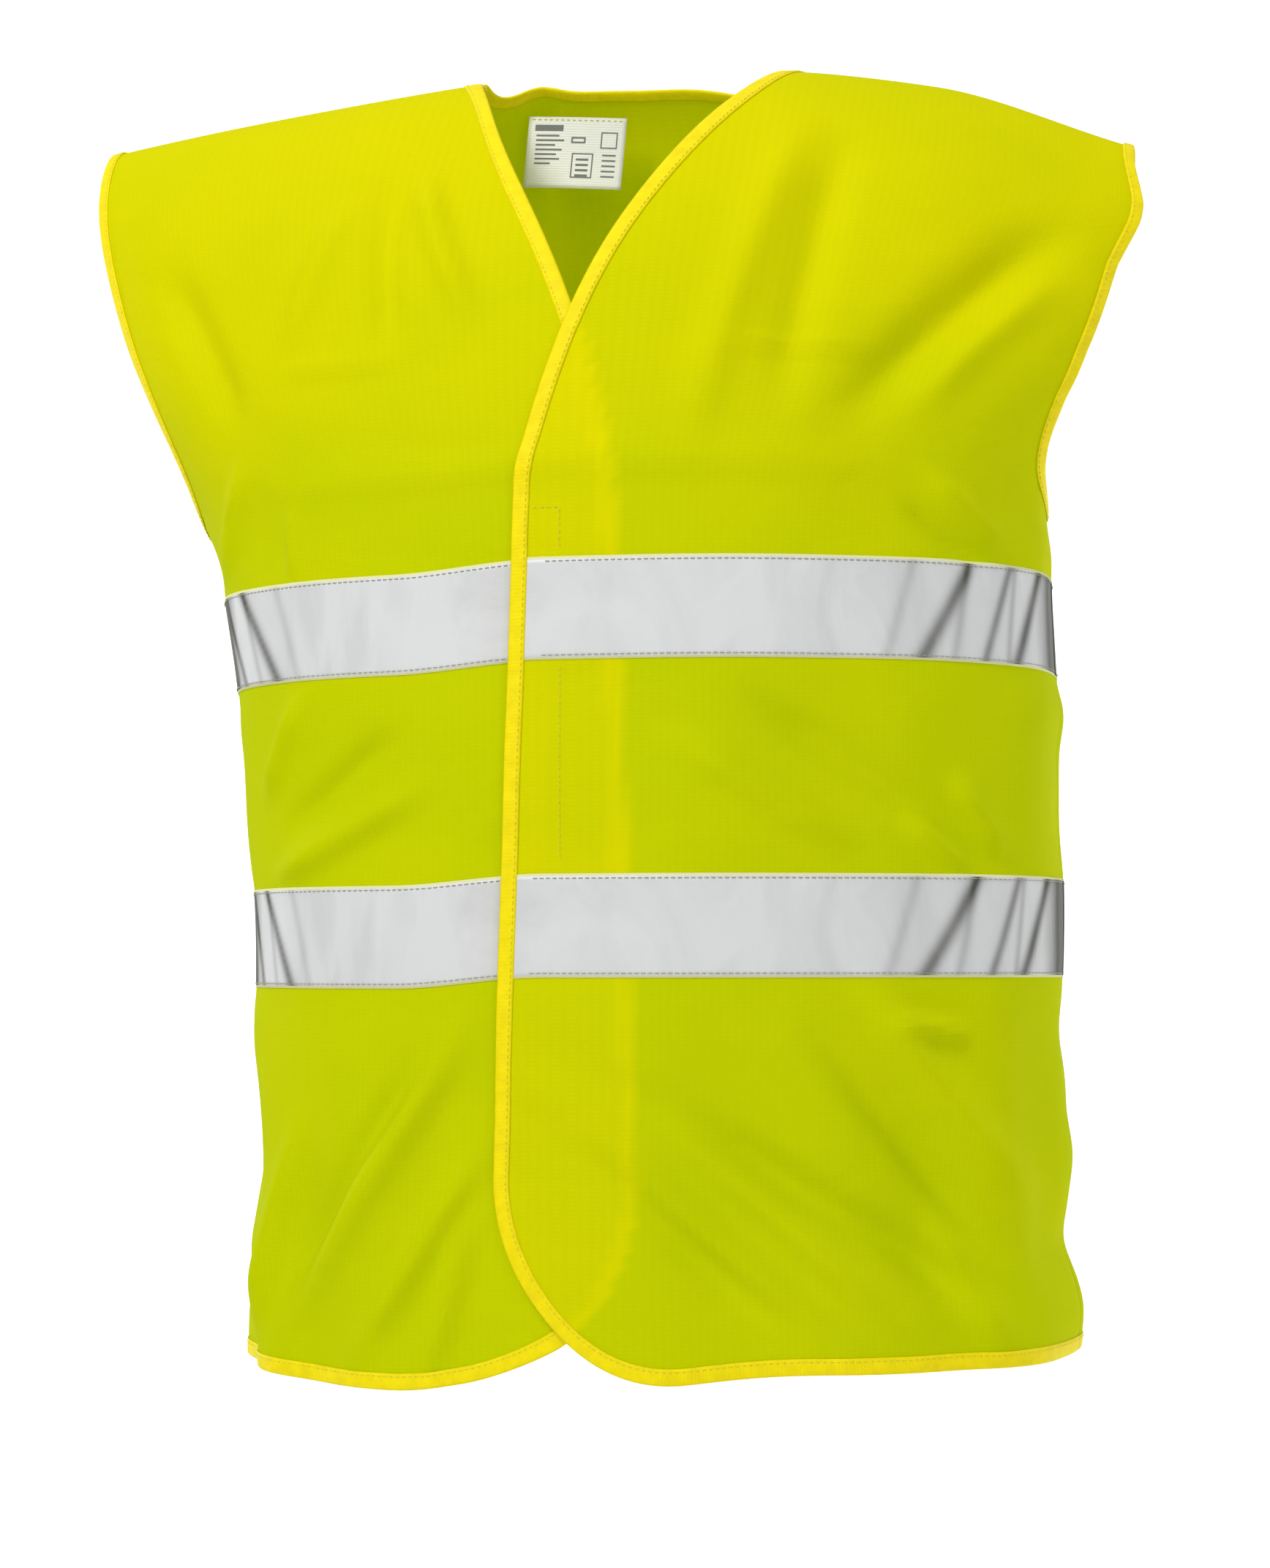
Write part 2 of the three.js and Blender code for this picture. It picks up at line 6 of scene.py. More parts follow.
import bmesh
import bpy
import numpy as np
from bpy.props import FloatProperty, FloatVectorProperty, PointerProperty
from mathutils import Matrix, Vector


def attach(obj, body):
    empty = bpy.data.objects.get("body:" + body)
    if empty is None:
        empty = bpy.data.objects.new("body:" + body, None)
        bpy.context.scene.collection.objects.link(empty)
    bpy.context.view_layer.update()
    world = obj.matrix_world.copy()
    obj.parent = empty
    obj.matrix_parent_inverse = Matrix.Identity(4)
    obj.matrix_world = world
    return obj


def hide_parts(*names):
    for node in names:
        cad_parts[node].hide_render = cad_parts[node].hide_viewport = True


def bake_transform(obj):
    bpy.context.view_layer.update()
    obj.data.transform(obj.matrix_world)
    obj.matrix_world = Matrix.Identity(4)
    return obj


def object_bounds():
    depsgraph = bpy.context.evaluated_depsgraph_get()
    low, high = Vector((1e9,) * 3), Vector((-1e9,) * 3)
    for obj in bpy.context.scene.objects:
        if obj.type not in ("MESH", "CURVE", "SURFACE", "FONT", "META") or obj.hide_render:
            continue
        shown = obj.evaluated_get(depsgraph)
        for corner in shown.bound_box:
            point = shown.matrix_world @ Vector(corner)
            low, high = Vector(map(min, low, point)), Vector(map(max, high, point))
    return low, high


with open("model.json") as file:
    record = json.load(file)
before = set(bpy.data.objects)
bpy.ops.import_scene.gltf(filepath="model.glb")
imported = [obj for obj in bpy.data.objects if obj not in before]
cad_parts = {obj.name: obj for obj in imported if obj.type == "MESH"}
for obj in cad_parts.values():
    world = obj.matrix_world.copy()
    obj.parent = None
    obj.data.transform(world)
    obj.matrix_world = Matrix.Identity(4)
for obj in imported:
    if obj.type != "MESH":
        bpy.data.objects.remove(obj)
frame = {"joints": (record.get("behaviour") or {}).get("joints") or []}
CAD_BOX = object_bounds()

bl_info = {
    "name": "High visibility vest",
    "version": (1, 0, 0),
    "blender": (4, 5, 0),
    "location": "View3D > Sidebar > Vest",
    "description": "Makes a high visibility vest, piece by piece, as it hangs from the shoulders",
    "category": "Object",
}

# Shapes are worked out in millimetres and made in metres.
MM = 0.001
LEFT, RIGHT = 1, -1
SIDES = {"left": LEFT, "right": RIGHT}

# ---- The form on which the vest hangs ----
LENGTH = 655.0  # neck point to hem
UNDERARM = 430.0
WAIST_HALF_WIDTH, WAIST_LEVEL, CHEST_HALF_WIDTH = 213.0, 200.0, 219.0
SHOULDER_HALF_WIDTH = 295.0
FRONT_DEPTH, FRONT_HEM_DEPTH = 134.0, 126.0
BACK_DEPTH, BACK_HEM_DEPTH = 118.0, 112.0
FULL_DEPTH_LEVEL = 300.0
SQUARENESS = 2.4
SHOULDER_DROP = {LEFT: 45.0, RIGHT: 23.0}
HEM_SWAY, SHOULDER_SWAY = 18.0, -15.0
NECK_HALF_WIDTH, BACK_NECK_DROP = 88.0, 10.0
FRONT_NAPE_RISE, BACK_NAPE_RISE = 12.0, 26.0
ARMHOLE_CUT, ARMHOLE_ROUND = 62.0, 80.0
ARMHOLE_CENTRE = UNDERARM + ARMHOLE_ROUND
LEFT_ARMHOLE_TURN = 15.0  # its front edge hangs outwards and its back edge inwards
TURN_FULL_FROM, TURN_FULL_TO = 500.0, 590.0
FLARE_SOFTNESS = 0.08

# Front edges, for the left front; the right one is their mirror.
NECKLINE_END, NECKLINE_END_PAST = 430.0, 25.0
NECKLINE_BEND = (-3.5, 535.5)
OVERLAP_HALF, CORNER_RADIUS = 36.0, 94.0
CORNER_X = CORNER_RADIUS - OVERLAP_HALF
LIFT, LIFT_FROM, LIFT_TO = 5.6, 36.0, 146.0  # left front over the closed right front
LIFT_FADES, LIFT_ENDS = 530.0, 615.0
MARGIN = 9.0  # from an edge to the line that gives its binding's direction
ROUND_SCALE = 2.6  # millimetres round the body for a degree, near the sides

# Heights over the form of each layer's outer face.
CLOTH_FACE, TAPE_FACE, BINDING_FACE = 0.6, 1.0, 1.5
HOOK_FACE, LOOP_FACE = -0.4, 3.0  # the hook strip is inside its front, the loop strip outside
EDGE_INSET = 1.2  # cloth edge to finished edge, inside the binding
TAPE_INSET = 1.6  # tape end to finished edge
TAPE_BOTTOM = {"lower": 188.0, "upper": 341.0}
CLOSURE_BOTTOM, CLOSURE_TOP = 243.0, 417.0
HOOK_INSET, HOOK_WIDTH = 8.5, 16.0  # inset from the left front's edge at the closure's top
LOOP_OUTSET, LOOP_WIDTH = 3.5, 25.0  # outset from the right front's edge there
STRIP_THICKNESS = 0.0011


def lerp(a, b, t):
    return a + (b - a) * t


def ramp(value, start, end):
    """0 before start, 1 past end, and a smooth turn between them."""
    t = np.clip((value - start) / (end - start), 0, 1)
    return t * t * (3 - 2 * t)


def hump(value, centre, reach):
    """1 at the centre, falling smoothly to next to nothing at twice the reach."""
    return np.exp(-(((value - centre) / reach) ** 2))


def rise(level):
    """Share of the way from the underarm up to the neck point."""
    return (level - UNDERARM) / (LENGTH - UNDERARM)


def half_width(level):
    waist = np.minimum(1, (level - WAIST_LEVEL) / (UNDERARM - WAIST_LEVEL))
    body = lerp(WAIST_HALF_WIDTH, CHEST_HALF_WIDTH, waist**2)
    flare = (np.hypot(rise(level), FLARE_SOFTNESS) + rise(level)) / 2
    return lerp(SHOULDER_HALF_WIDTH, body, (1 - np.minimum(1, flare)) ** 2)


def depth(front, level):
    full = np.where(front, FRONT_DEPTH, BACK_DEPTH)
    hem = np.where(front, FRONT_HEM_DEPTH, BACK_HEM_DEPTH)
    below = lerp(hem, full, np.sin(np.minimum(1, level / FULL_DEPTH_LEVEL) * math.pi / 2))
    fullness = np.where(front, 1.6, 2.0)
    up = np.clip(rise(level), 0, 1)
    return np.where(level <= UNDERARM, below, full * np.sqrt(1 - up**fullness))


def sway(level):
    return lerp(HEM_SWAY, SHOULDER_SWAY, ramp(level, WAIST_LEVEL, LENGTH))


def armhole_turn(sine, cosine, level):
    """How far the left armhole's edges are moved aside, for the sine and cosine of their angle."""
    height = ramp(level, UNDERARM, TURN_FULL_FROM) * (1 - ramp(level, TURN_FULL_TO, LENGTH))
    return LEFT_ARMHOLE_TURN * height * np.maximum(0, sine) ** 2 * np.clip(cosine / 0.35, -1, 1)


def shoulder_line(x, front):
    """Height over the hem of the neckline and of the shoulder, from the middle to the tip."""
    out = np.abs(x) - NECK_HALF_WIDTH
    nape_rise = np.where(front, FRONT_NAPE_RISE, BACK_NAPE_RISE)
    nape = LENGTH + nape_rise * (1 - (x / NECK_HALF_WIDTH) ** 2) ** 2
    drop = np.where(x > 0, SHOULDER_DROP[LEFT], SHOULDER_DROP[RIGHT])
    share = np.maximum(0, out) / (SHOULDER_HALF_WIDTH - NECK_HALF_WIDTH)
    return np.where(out < 0, nape, LENGTH - drop * share**1.3)


def form(angle, level):
    """Points of the form. A level past the shoulder line comes down on the other side."""
    angle, level = np.broadcast_arrays(np.asarray(angle, float), np.asarray(level, float))
    over = level > LENGTH
    angle = np.where(over, 180 - angle, angle)
    level = np.where(over, 2 * LENGTH - level, level)
    sine, cosine = np.sin(np.radians(angle)), np.cos(np.radians(angle))
    power = 2 / SQUARENESS
    x = half_width(level) * np.sign(sine) * np.abs(sine) ** power + sway(level) * sine**2
    x = x + armhole_turn(sine, cosine, level)
    y = -depth(cosine > 0, level) * np.sign(cosine) * np.abs(cosine) ** power
    top = shoulder_line(x, cosine > 0)
    height = np.where(level > UNDERARM, lerp(UNDERARM, top, rise(level)), level)
    return np.stack([x, y, height - LENGTH], axis=-1)


def unit(vectors):
    return vectors / np.maximum(1e-9, np.linalg.norm(vectors, axis=-1, keepdims=True))


def form_normal(angle, level):
    step = 0.5
    around = form(angle + step, level) - form(angle - step, level)
    up = form(angle, level + step) - form(angle, level - step)
    return unit(np.cross(around, up))


def front_angle(x, level):
    """The angle at which the front of the form stands at x."""
    sine = np.zeros(np.broadcast(x, level).shape)
    for _ in range(3):
        reach = (x - sway(level) * sine * sine) / half_width(level)
        sine = np.sign(reach) * np.minimum(1, np.abs(reach)) ** (SQUARENESS / 2)
    return np.degrees(np.arcsin(sine))


def front_edge(level, inset=0.0):
    """x of the front's finished edge, or of a line that runs inset inside it."""
    level = np.asarray(level, float)
    radius = CORNER_RADIUS - inset
    below = np.clip(CORNER_RADIUS - level, 0, radius)
    corner = CORNER_X - np.sqrt(radius**2 - below**2)
    up = (level - CORNER_RADIUS) / (NECKLINE_END - CORNER_RADIUS)
    straight = lerp(-OVERLAP_HALF, -NECKLINE_END_PAST, up) + inset
    (x0, l0), (x1, l1), (x2, l2) = (
        (-NECKLINE_END_PAST, NECKLINE_END),
        NECKLINE_BEND,
        (NECK_HALF_WIDTH, LENGTH),
    )
    a, b = l0 - 2 * l1 + l2, 2 * (l1 - l0)
    t = (-b + np.sqrt(b * b + 4 * a * np.maximum(0, level - l0))) / (2 * a)
    x = x0 * (1 - t) ** 2 + 2 * x1 * t * (1 - t) + x2 * t**2
    slope = (2 * (x1 - x0) * (1 - t) + 2 * (x2 - x1) * t) / (b + 2 * a * t)
    neckline = x + inset * np.hypot(1, slope)
    lower = np.where(level < CORNER_RADIUS, corner, straight)
    return np.where(level < NECKLINE_END, lower, neckline)


def armhole_limit(level, inset=0.0):
    """Degrees from the centre front, or back, to the armhole or the side seam below it."""
    below = np.clip((ARMHOLE_CENTRE - level) / (ARMHOLE_ROUND + inset), 0, 1)
    return 90 - (ARMHOLE_CUT + inset) / ROUND_SCALE * np.sqrt(1 - below**2)


def nape_place(turn, inset=0.0):
    """A place on the back neckline: turn goes from 0 at the left neck point to 180 at the right."""
    x = (NECK_HALF_WIDTH + inset) * np.cos(np.radians(turn))
    drop = (BACK_NECK_DROP + inset * 0.45) * np.sin(np.radians(turn))
    return 180 - front_angle(x, LENGTH), LENGTH - drop


def lift(x, level):
    """How far the left front stands off the form, to close over the right one."""
    sideways = 1 - ramp(x, LIFT_FROM, LIFT_TO)
    return LIFT * sideways * (1 - ramp(level, LIFT_FADES, LIFT_ENDS))


# ---- Folds: (x, level) to (x, level), reach, height; a negative height is a hollow ----
FOLD_REACH = 0.75  # share of its listed reach that each fold takes
FRONT_FOLDS = (
    # The left front's skirt fans out from the closure towards the hem.
    (-14, 138, 128, 18, 11, 2.6),
    (28, 146, 165, 16, 12, 3.0),
    (4, 122, 90, 30, 9, -2.0),
    (10, 150, 200, 34, 12, -2.6),
    (145, 182, 214, 84, 11, 3.2),
    (120, 160, 200, 62, 10, -2.4),
    (156, 168, 190, 160, 6, 2.4),
    (175, 70, 208, 10, 9, 2.6),
    # The right front's skirt.
    (-56, 164, -152, 26, 12, 3.2),
    (-46, 108, -110, 16, 9, 2.4),
    (-80, 150, -140, 60, 9, -2.2),
    (-51, 76, -72, 6, 8, 1.8),
    (-150, 120, -178, 20, 10, 2.6),
    # Between the tapes.
    (-144, 331, -168, 285, 8, 2.4),
    (-77, 284, -162, 240, 10, 2.6),
    (-90, 312, -150, 268, 9, -2.0),
    (54, 303, 132, 253, 11, 2.2),
    (90, 322, 180, 262, 11, -2.0),
    (184, 284, 206, 248, 7, 2.4),
    (162, 266, 192, 236, 7, 2.2),
    # Chest and shoulders.
    (-156, 494, -88, 495, 4, 1.3),
    (80, 494, 142, 493, 4, 1.3),
    (-160, 438, 160, 437, 10, 0.9),
    (-148, 428, -147, 392, 5, 1.6),
    (-92, 590, -54, 512, 10, 2.6),
    (-108, 588, -96, 500, 11, -2.2),
    (-126, 580, -150, 508, 11, 1.8),
    (106, 612, 62, 452, 14, 2.2),
    (128, 604, 104, 470, 14, -2.4),
    (238, 572, 134, 458, 18, -4.0),
    (232, 540, 170, 470, 12, 2.6),
    (172, 432, 206, 396, 7, 2.0),
    (160, 418, 200, 384, 6, -1.6),
    (-230, 560, -180, 470, 14, -2.4),
    (-178, 452, -196, 400, 8, 1.8),
)
BACK_FOLDS = (
    (-120, 560, -70, 420, 16, 2.6),
    (110, 566, 66, 424, 16, 2.6),
    (-20, 470, -44, 250, 18, -2.2),
    (36, 460, 52, 262, 16, 2.0),
    (-60, 176, -128, 14, 14, 3.2),
    (8, 170, -18, 10, 15, -2.6),
    (62, 178, 128, 12, 14, 3.2),
    (-20, 176, -66, 12, 11, 2.2),
    (-170, 322, -110, 262, 10, 2.4),
    (164, 326, 100, 258, 10, 2.4),
    (-206, 540, -160, 470, 14, -3.0),
    (208, 544, 158, 466, 14, -3.0),
    (-186, 160, -170, 30, 11, 2.6),
    (186, 166, 166, 40, 11, 2.6),
)
# Swells of the side seams: level, reach, height on the left and the right.
SIDE_SWELLS = (
    (20, 20, 1.6, 0.8),
    (56, 14, -1.2, 0.8),
    (98, 18, 1.2, -0.8),
    (160, 18, -1.0, 1.0),
    (262, 26, -0.8, 0.8),
    (322, 14, 1.2, 0.6),
    (405, 18, 0.8, -0.8),
)


def fold_heights(folds, x, level):
    """Sum of the ridges and hollows at a place, each fading out at its two ends."""
    total = np.zeros(np.shape(x))
    for x0, l0, x1, l1, reach, height in folds:
        along = np.array([x1 - x0, l1 - l0], float)
        length = np.hypot(*along)
        along /= length
        run = (x - x0) * along[0] + (level - l0) * along[1]
        aside = (x - x0) * -along[1] + (level - l0) * along[0]
        ends = ramp(run, -0.15 * length, 0.3 * length) * (1 - ramp(run, 0.7 * length, 1.15 * length))
        total += height * ends * np.exp(-((aside / (reach * FOLD_REACH)) ** 2))
    return total


def drape(angle, level, x):
    """Height of the folds over the form. Layers that lie on each other share it."""
    sizes = bpy.context.scene.vest_sizes
    over = level > LENGTH
    angle = np.where(over, 180 - angle, angle)
    level = np.where(over, 2 * LENGTH - level, level)
    turned = np.cos(np.radians(angle))
    front = fold_heights(FRONT_FOLDS, x, level) * ramp(turned, -0.1, 0.25)
    back = fold_heights(BACK_FOLDS, x, level) * ramp(-turned, -0.1, 0.25)
    side = hump(np.abs(turned), 0, 0.4)
    left = np.sin(np.radians(angle)) > 0
    swell = sum(np.where(left, a, b) * hump(level, at, reach) for at, reach, a, b in SIDE_SWELLS)
    # The tape stiffens the cloth that it is sewn to.
    taped = sum(
        ramp(level, b - 12, b + 4) * (1 - ramp(level, b + 46, b + 62)) for b in TAPE_BOTTOM.values()
    )
    calm = 1 - 0.55 * taped
    ripple = 0.5 * np.sin(angle * 0.16 + level * 0.021) * np.sin(level * 0.034 - angle * 0.07)
    low = 1 - ramp(level, 40, 300)
    ripple = ripple + 0.9 * low * np.sin(angle * 0.21 + level * 0.012)
    top = 1 - ramp(level, 600, LENGTH)
    return sizes.fold_depth * calm * top * (front + back + side * swell + ripple)


# How this vest hangs: level, and how much farther out its side is there, in millimetres.
SIDE_HANG = {
    LEFT: (
        (0, -6),
        (120, -8),
        (200, -5),
        (300, -3),
        (430, -2),
        (480, -7),
        (560, -5),
        (610, 4),
        (655, 7),
    ),
    RIGHT: ((0, -6), (120, -6), (200, -4), (300, -2), (430, 0), (655, 0)),
}
RIGHT_SAG, RIGHT_HEM_SAG, CORNER_SAG = 5, 7, 7
SHOULDER_RAISE, RIGHT_NECK_RAISE, LEFT_TIP_DROP = 6, 3, 13
RIGHT_NECK_SHIFT, LEFT_UNDERARM_SHIFT = 12, 9


def hang(points, angle, level):
    """Moves points of the form to where this vest's own weight brings them."""
    over = level > LENGTH
    level = np.where(over, 2 * LENGTH - level, level)
    start = points[..., 0]
    sine = np.sin(np.radians(angle))
    aside = sine**2
    x = start
    for side in (LEFT, RIGHT):
        levels, reach = zip(*SIDE_HANG[side])
        x = x + side * np.where(sine * side > 0, np.interp(level, levels, reach) * aside, 0)
    front = ramp(np.cos(np.radians(angle)), -0.3, 0.3)
    low = 1 - ramp(level, 380, 540)
    hem = front * (1 - ramp(level, 0, 230)) * (1 - 0.5 * ramp(-start, 120, 200))
    sag = (RIGHT_SAG * low + RIGHT_HEM_SAG * hem) * ramp(-start, 10, 90)
    sag = sag + CORNER_SAG * front * (1 - ramp(level, 0, 140)) * hump(start, 20, 58)
    pulled = ramp(level, 540, 640)
    x = x + RIGHT_NECK_SHIFT * pulled * hump(start, -92, 40)
    raised = SHOULDER_RAISE * ramp(level, 430, LENGTH)
    raised = raised + RIGHT_NECK_RAISE * pulled * hump(start, -80, 50)
    nape = 10 * hump(start, -64, 21) - 7 * hump(start, 2, 34)
    raised = raised + nape * pulled * (1 - front)
    raised = raised - LEFT_TIP_DROP * pulled * ramp(start, 165, 272)
    tuck = np.where(start > 0, LEFT_UNDERARM_SHIFT, 0) * (1 - front) * hump(level, 452, 32)
    x = x - tuck * aside
    return np.stack([x, points[..., 1], points[..., 2] - sag + raised], axis=-1)


def place(angle, level, height=0.0, raised=0.0):
    """Where a point of a layer hangs: height is the layer's own, raised is any lift under it."""
    angle, level = np.broadcast_arrays(np.asarray(angle, float), np.asarray(level, float))
    points = form(angle, level)
    out = raised + height + drape(angle, level, points[..., 0])
    return hang(points + form_normal(angle, level) * out[..., None], angle, level)


# ---- Colours ----
def linear(code):
    """An sRGB hex colour as linear red, green, blue."""
    parts = [int(code[i : i + 2], 16) / 255 for i in (1, 3, 5)]
    return [c / 12.92 if c <= 0.04045 else ((c + 0.055) / 1.055) ** 2.4 for c in parts]


def colour_property(name, description, code):
    return FloatVectorProperty(
        name=name, description=description, default=linear(code), subtype="COLOR", min=0, max=1
    )


def length_property(name, description, metres):
    return FloatProperty(
        name=name, description=description, default=metres, unit="LENGTH", subtype="DISTANCE"
    )


def angle_property(name, description, degrees):
    return FloatProperty(
        name=name,
        description=description,
        default=math.radians(degrees),
        unit="ROTATION",
        subtype="ANGLE",
    )


class VestColours(bpy.types.PropertyGroup):
    cloth: colour_property("Cloth", "Fluorescent knitted cloth of the chest", "#ECDC00")
    # Partly painted shade: the denser patches take this tone at random, and it is also painted down the
    # skirt for the lesser light there.
    cloth_deep_and_shaded: colour_property(
        "Cloth, deep", "Fluorescent cloth of the skirt and of denser patches", "#D0D400"
    )
    cloth_through: colour_property(
        "Cloth, light through it", "Light that comes through the cloth", "#B8D400"
    )
    # Painted glow: the dye's fluorescence is real, but here it is an even emission over the whole cloth,
    # which lifts and greens its shaded sides.
    painted_glow: colour_property("Cloth glow", "Light that the fluorescent dye gives back", "#A6D600")
    binding: colour_property("Binding", "Folded edge binding", "#F2DE00")
    tape: colour_property("Tape", "Reflective tape's beaded face", "#DEDEDE")
    # Painted shade: the dark colour painted on the tape where it is creased or bent away round the sides.
    tape_painted_shade: colour_property(
        "Tape, bent away", "Beaded face where it is creased or turned away", "#42443A"
    )
    tape_edge: colour_property("Tape edge", "Uncoated edge of the tape", "#E9E9A8")
    stitch: colour_property("Stitching", "Sewing thread", "#E2DC20")
    tape_stitch: colour_property("Tape stitching", "Sewing thread on the tape", "#A9AC92")
    closure: colour_property("Closure", "Hook and loop strips", "#DDE000")
    label: colour_property("Label", "Satin care label", "#E4E3DE")
    print: colour_property("Print", "Print on the care label", "#6E6F72")
    paper: colour_property("Backdrop", "Seamless backdrop paper", "#F4F4F2")


class VestSizes(bpy.types.PropertyGroup):
    cloth_thickness: length_property("Cloth thickness", "Thickness of the knitted cloth", 0.0004)
    tape_width: length_property("Tape width", "Width of the reflective tape", 0.050)
    tape_thickness: length_property("Tape thickness", "Thickness of the reflective tape", 0.00025)
    binding_width: length_property("Binding width", "Visible width of the folded binding", 0.008)
    stitch_pitch: length_property("Stitch pitch", "Length of one stitch with its gap", 0.0032)
    thread_radius: length_property("Thread radius", "Radius of the thread in a stitch", 0.00024)
    fold_depth: FloatProperty(
        name="Fold depth",
        description="How deep the folds are, as a multiple of their listed heights",
        default=2.8,
        min=0,
        max=3,
    )
    label_width: length_property("Label width", "Width of the care label", 0.055)
    label_height: length_property("Label height", "Height of the care label", 0.040)
    floor_drop: length_property("Floor drop", "Hem to floor", 0.55)
    camera_distance: length_property("Camera distance", "Camera to the middle of the vest", 1.6)
    camera_azimuth: angle_property("Camera azimuth", "How far round to the wearer's left", 12)
    camera_pitch: angle_property("Camera pitch", "How far the camera looks up", 3.5)


# ---- Materials ----
def add_node(tree, kind, inputs=(), **settings):
    """Adds a node; an input is a value, or an output socket to link from."""
    node = tree.nodes.new(kind)
    for name, value in settings.items():
        setattr(node, name, value)
    for name, value in dict(inputs).items():
        if isinstance(value, bpy.types.NodeSocket):
            tree.links.new(value, node.inputs[name])
        else:
            node.inputs[name].default_value = value
    return node


def new_material(name):
    material = bpy.data.materials.new(name)
    material.use_nodes = True
    material.node_tree.nodes.clear()
    return material, material.node_tree


def wave_scale(spacing):
    """Scale of a wave texture whose bands lie this far apart, in metres."""
    return 1 / spacing / 20 * math.pi


def rgba(colour):
    return (*colour, 1.0)


def finish_material(tree, shader):
    output = tree.nodes.new("ShaderNodeOutputMaterial")
    tree.links.new(shader.outputs[0], output.inputs["Surface"])


def fluorescent_knit():
    """Warp-knitted polyester, dyed fluorescent: matt, a little see-through, with fine loops."""
    colours = bpy.context.scene.vest_colours
    material, tree = new_material("fluorescent_warp_knit_polyester")
    weave = add_node(tree, "ShaderNodeUVMap", uv_map="weave")
    spot = weave.outputs["UV"]
    # Wales 1.3 mm apart and courses 1.0 mm apart, about twice the real ones, so that they still show.
    wales = add_node(
        tree,
        "ShaderNodeTexWave",
        {
            "Vector": spot,
            "Scale": wave_scale(0.0013),
            "Distortion": 0.6,
            "Detail": 1.0,
            "Detail Scale": 40.0,
        },
        bands_direction="X",
    )
    courses = add_node(
        tree,
        "ShaderNodeTexWave",
        {
            "Vector": spot,
            "Scale": wave_scale(0.0010),
            "Distortion": 0.8,
            "Detail": 1.0,
            "Detail Scale": 40.0,
        },
        bands_direction="Y",
    )
    loops = add_node(
        tree, "ShaderNodeMath", {0: wales.outputs["Fac"], 1: courses.outputs["Fac"]}, operation="MULTIPLY"
    )
    crumple = add_node(
        tree,
        "ShaderNodeTexNoise",
        {"Vector": spot, "Scale": 26.0, "Detail": 5.0, "Roughness": 0.5, "Distortion": 0.8},
    )
    patches = add_node(tree, "ShaderNodeTexNoise", {"Vector": spot, "Scale": 9.0, "Detail": 3.0})
    deeper = add_node(
        tree,
        "ShaderNodeMapRange",
        {"Value": patches.outputs["Fac"], "From Min": 0.4, "From Max": 0.7, "To Min": 0.0, "To Max": 0.4},
    )
    # Painted shade: from the chest down to the skirt the colour is painted deeper and greener, for the
    # lesser light that reaches the skirt and comes through it.
    split = add_node(tree, "ShaderNodeSeparateXYZ", {"Vector": spot})
    down = add_node(
        tree,
        "ShaderNodeMapRange",
        {"Value": split.outputs["Y"], "From Min": 0.62, "From Max": 0.32, "To Max": 0.85},
        interpolation_type="SMOOTHSTEP",
    )
    patches_and_painted_shade = add_node(
        tree, "ShaderNodeMath", {0: deeper.outputs["Result"], 1: down.outputs["Result"]}, operation="ADD"
    )
    # Painted light: where cloth or binding lies under this layer, the colour is painted yellower and
    # lighter, for the light that the layer under it sends back through the cloth.
    under = add_node(tree, "ShaderNodeAttribute", attribute_name="under")
    amount = add_node(
        tree,
        "ShaderNodeMath",
        {0: under.outputs["Fac"], 1: -0.7, 2: patches_and_painted_shade.outputs["Value"]},
        operation="MULTIPLY_ADD",
        use_clamp=True,
    )
    ground = add_node(
        tree,
        "ShaderNodeMix",
        {"Factor": amount.outputs["Value"], "A": rgba(colours.cloth), "B": rgba(colours.cloth_deep_and_shaded)},
        data_type="RGBA",
    )
    shade = add_node(
        tree, "ShaderNodeMapRange", {"Value": loops.outputs["Value"], "To Min": 0.97, "To Max": 1.01}
    )
    lighter = add_node(
        tree, "ShaderNodeMapRange", {"Value": under.outputs["Fac"], "To Min": 1.0, "To Max": 1.05}
    )
    tone = add_node(
        tree,
        "ShaderNodeMath",
        {0: shade.outputs["Result"], 1: lighter.outputs["Result"]},
        operation="MULTIPLY",
    )
    colour = add_node(
        tree,
        "ShaderNodeVectorMath",
        {0: ground.outputs["Result"], "Scale": tone.outputs["Value"]},
        operation="SCALE",
    )
    fine = add_node(
        tree, "ShaderNodeBump", {"Strength": 0.08, "Distance": 0.0003, "Height": loops.outputs["Value"]}
    )
    soft = add_node(
        tree,
        "ShaderNodeBump",
        {
            "Strength": 0.5,
            "Distance": 0.0024,
            "Height": crumple.outputs["Fac"],
            "Normal": fine.outputs["Normal"],
        },
    )
    # Painted glow: the emission lights the cloth evenly, whatever light falls on it.
    front = add_node(tree, "ShaderNodeBsdfPrincipled", {
        "Base Color": colour.outputs["Vector"],
        "Roughness": 0.8,
        "IOR": 1.45,
        "Specular IOR Level": 0.03,
        "Emission Color": rgba(colours.painted_glow),
        "Emission Strength": 0.13,
        "Normal": soft.outputs["Normal"],
    })
    through = add_node(
        tree,
        "ShaderNodeBsdfTranslucent",
        {"Color": rgba(colours.cloth_through), "Normal": soft.outputs["Normal"]},
    )
    both = add_node(
        tree, "ShaderNodeMixShader", {0: 0.22, 1: front.outputs["BSDF"], 2: through.outputs["BSDF"]}
    )
    finish_material(tree, both)
    return material


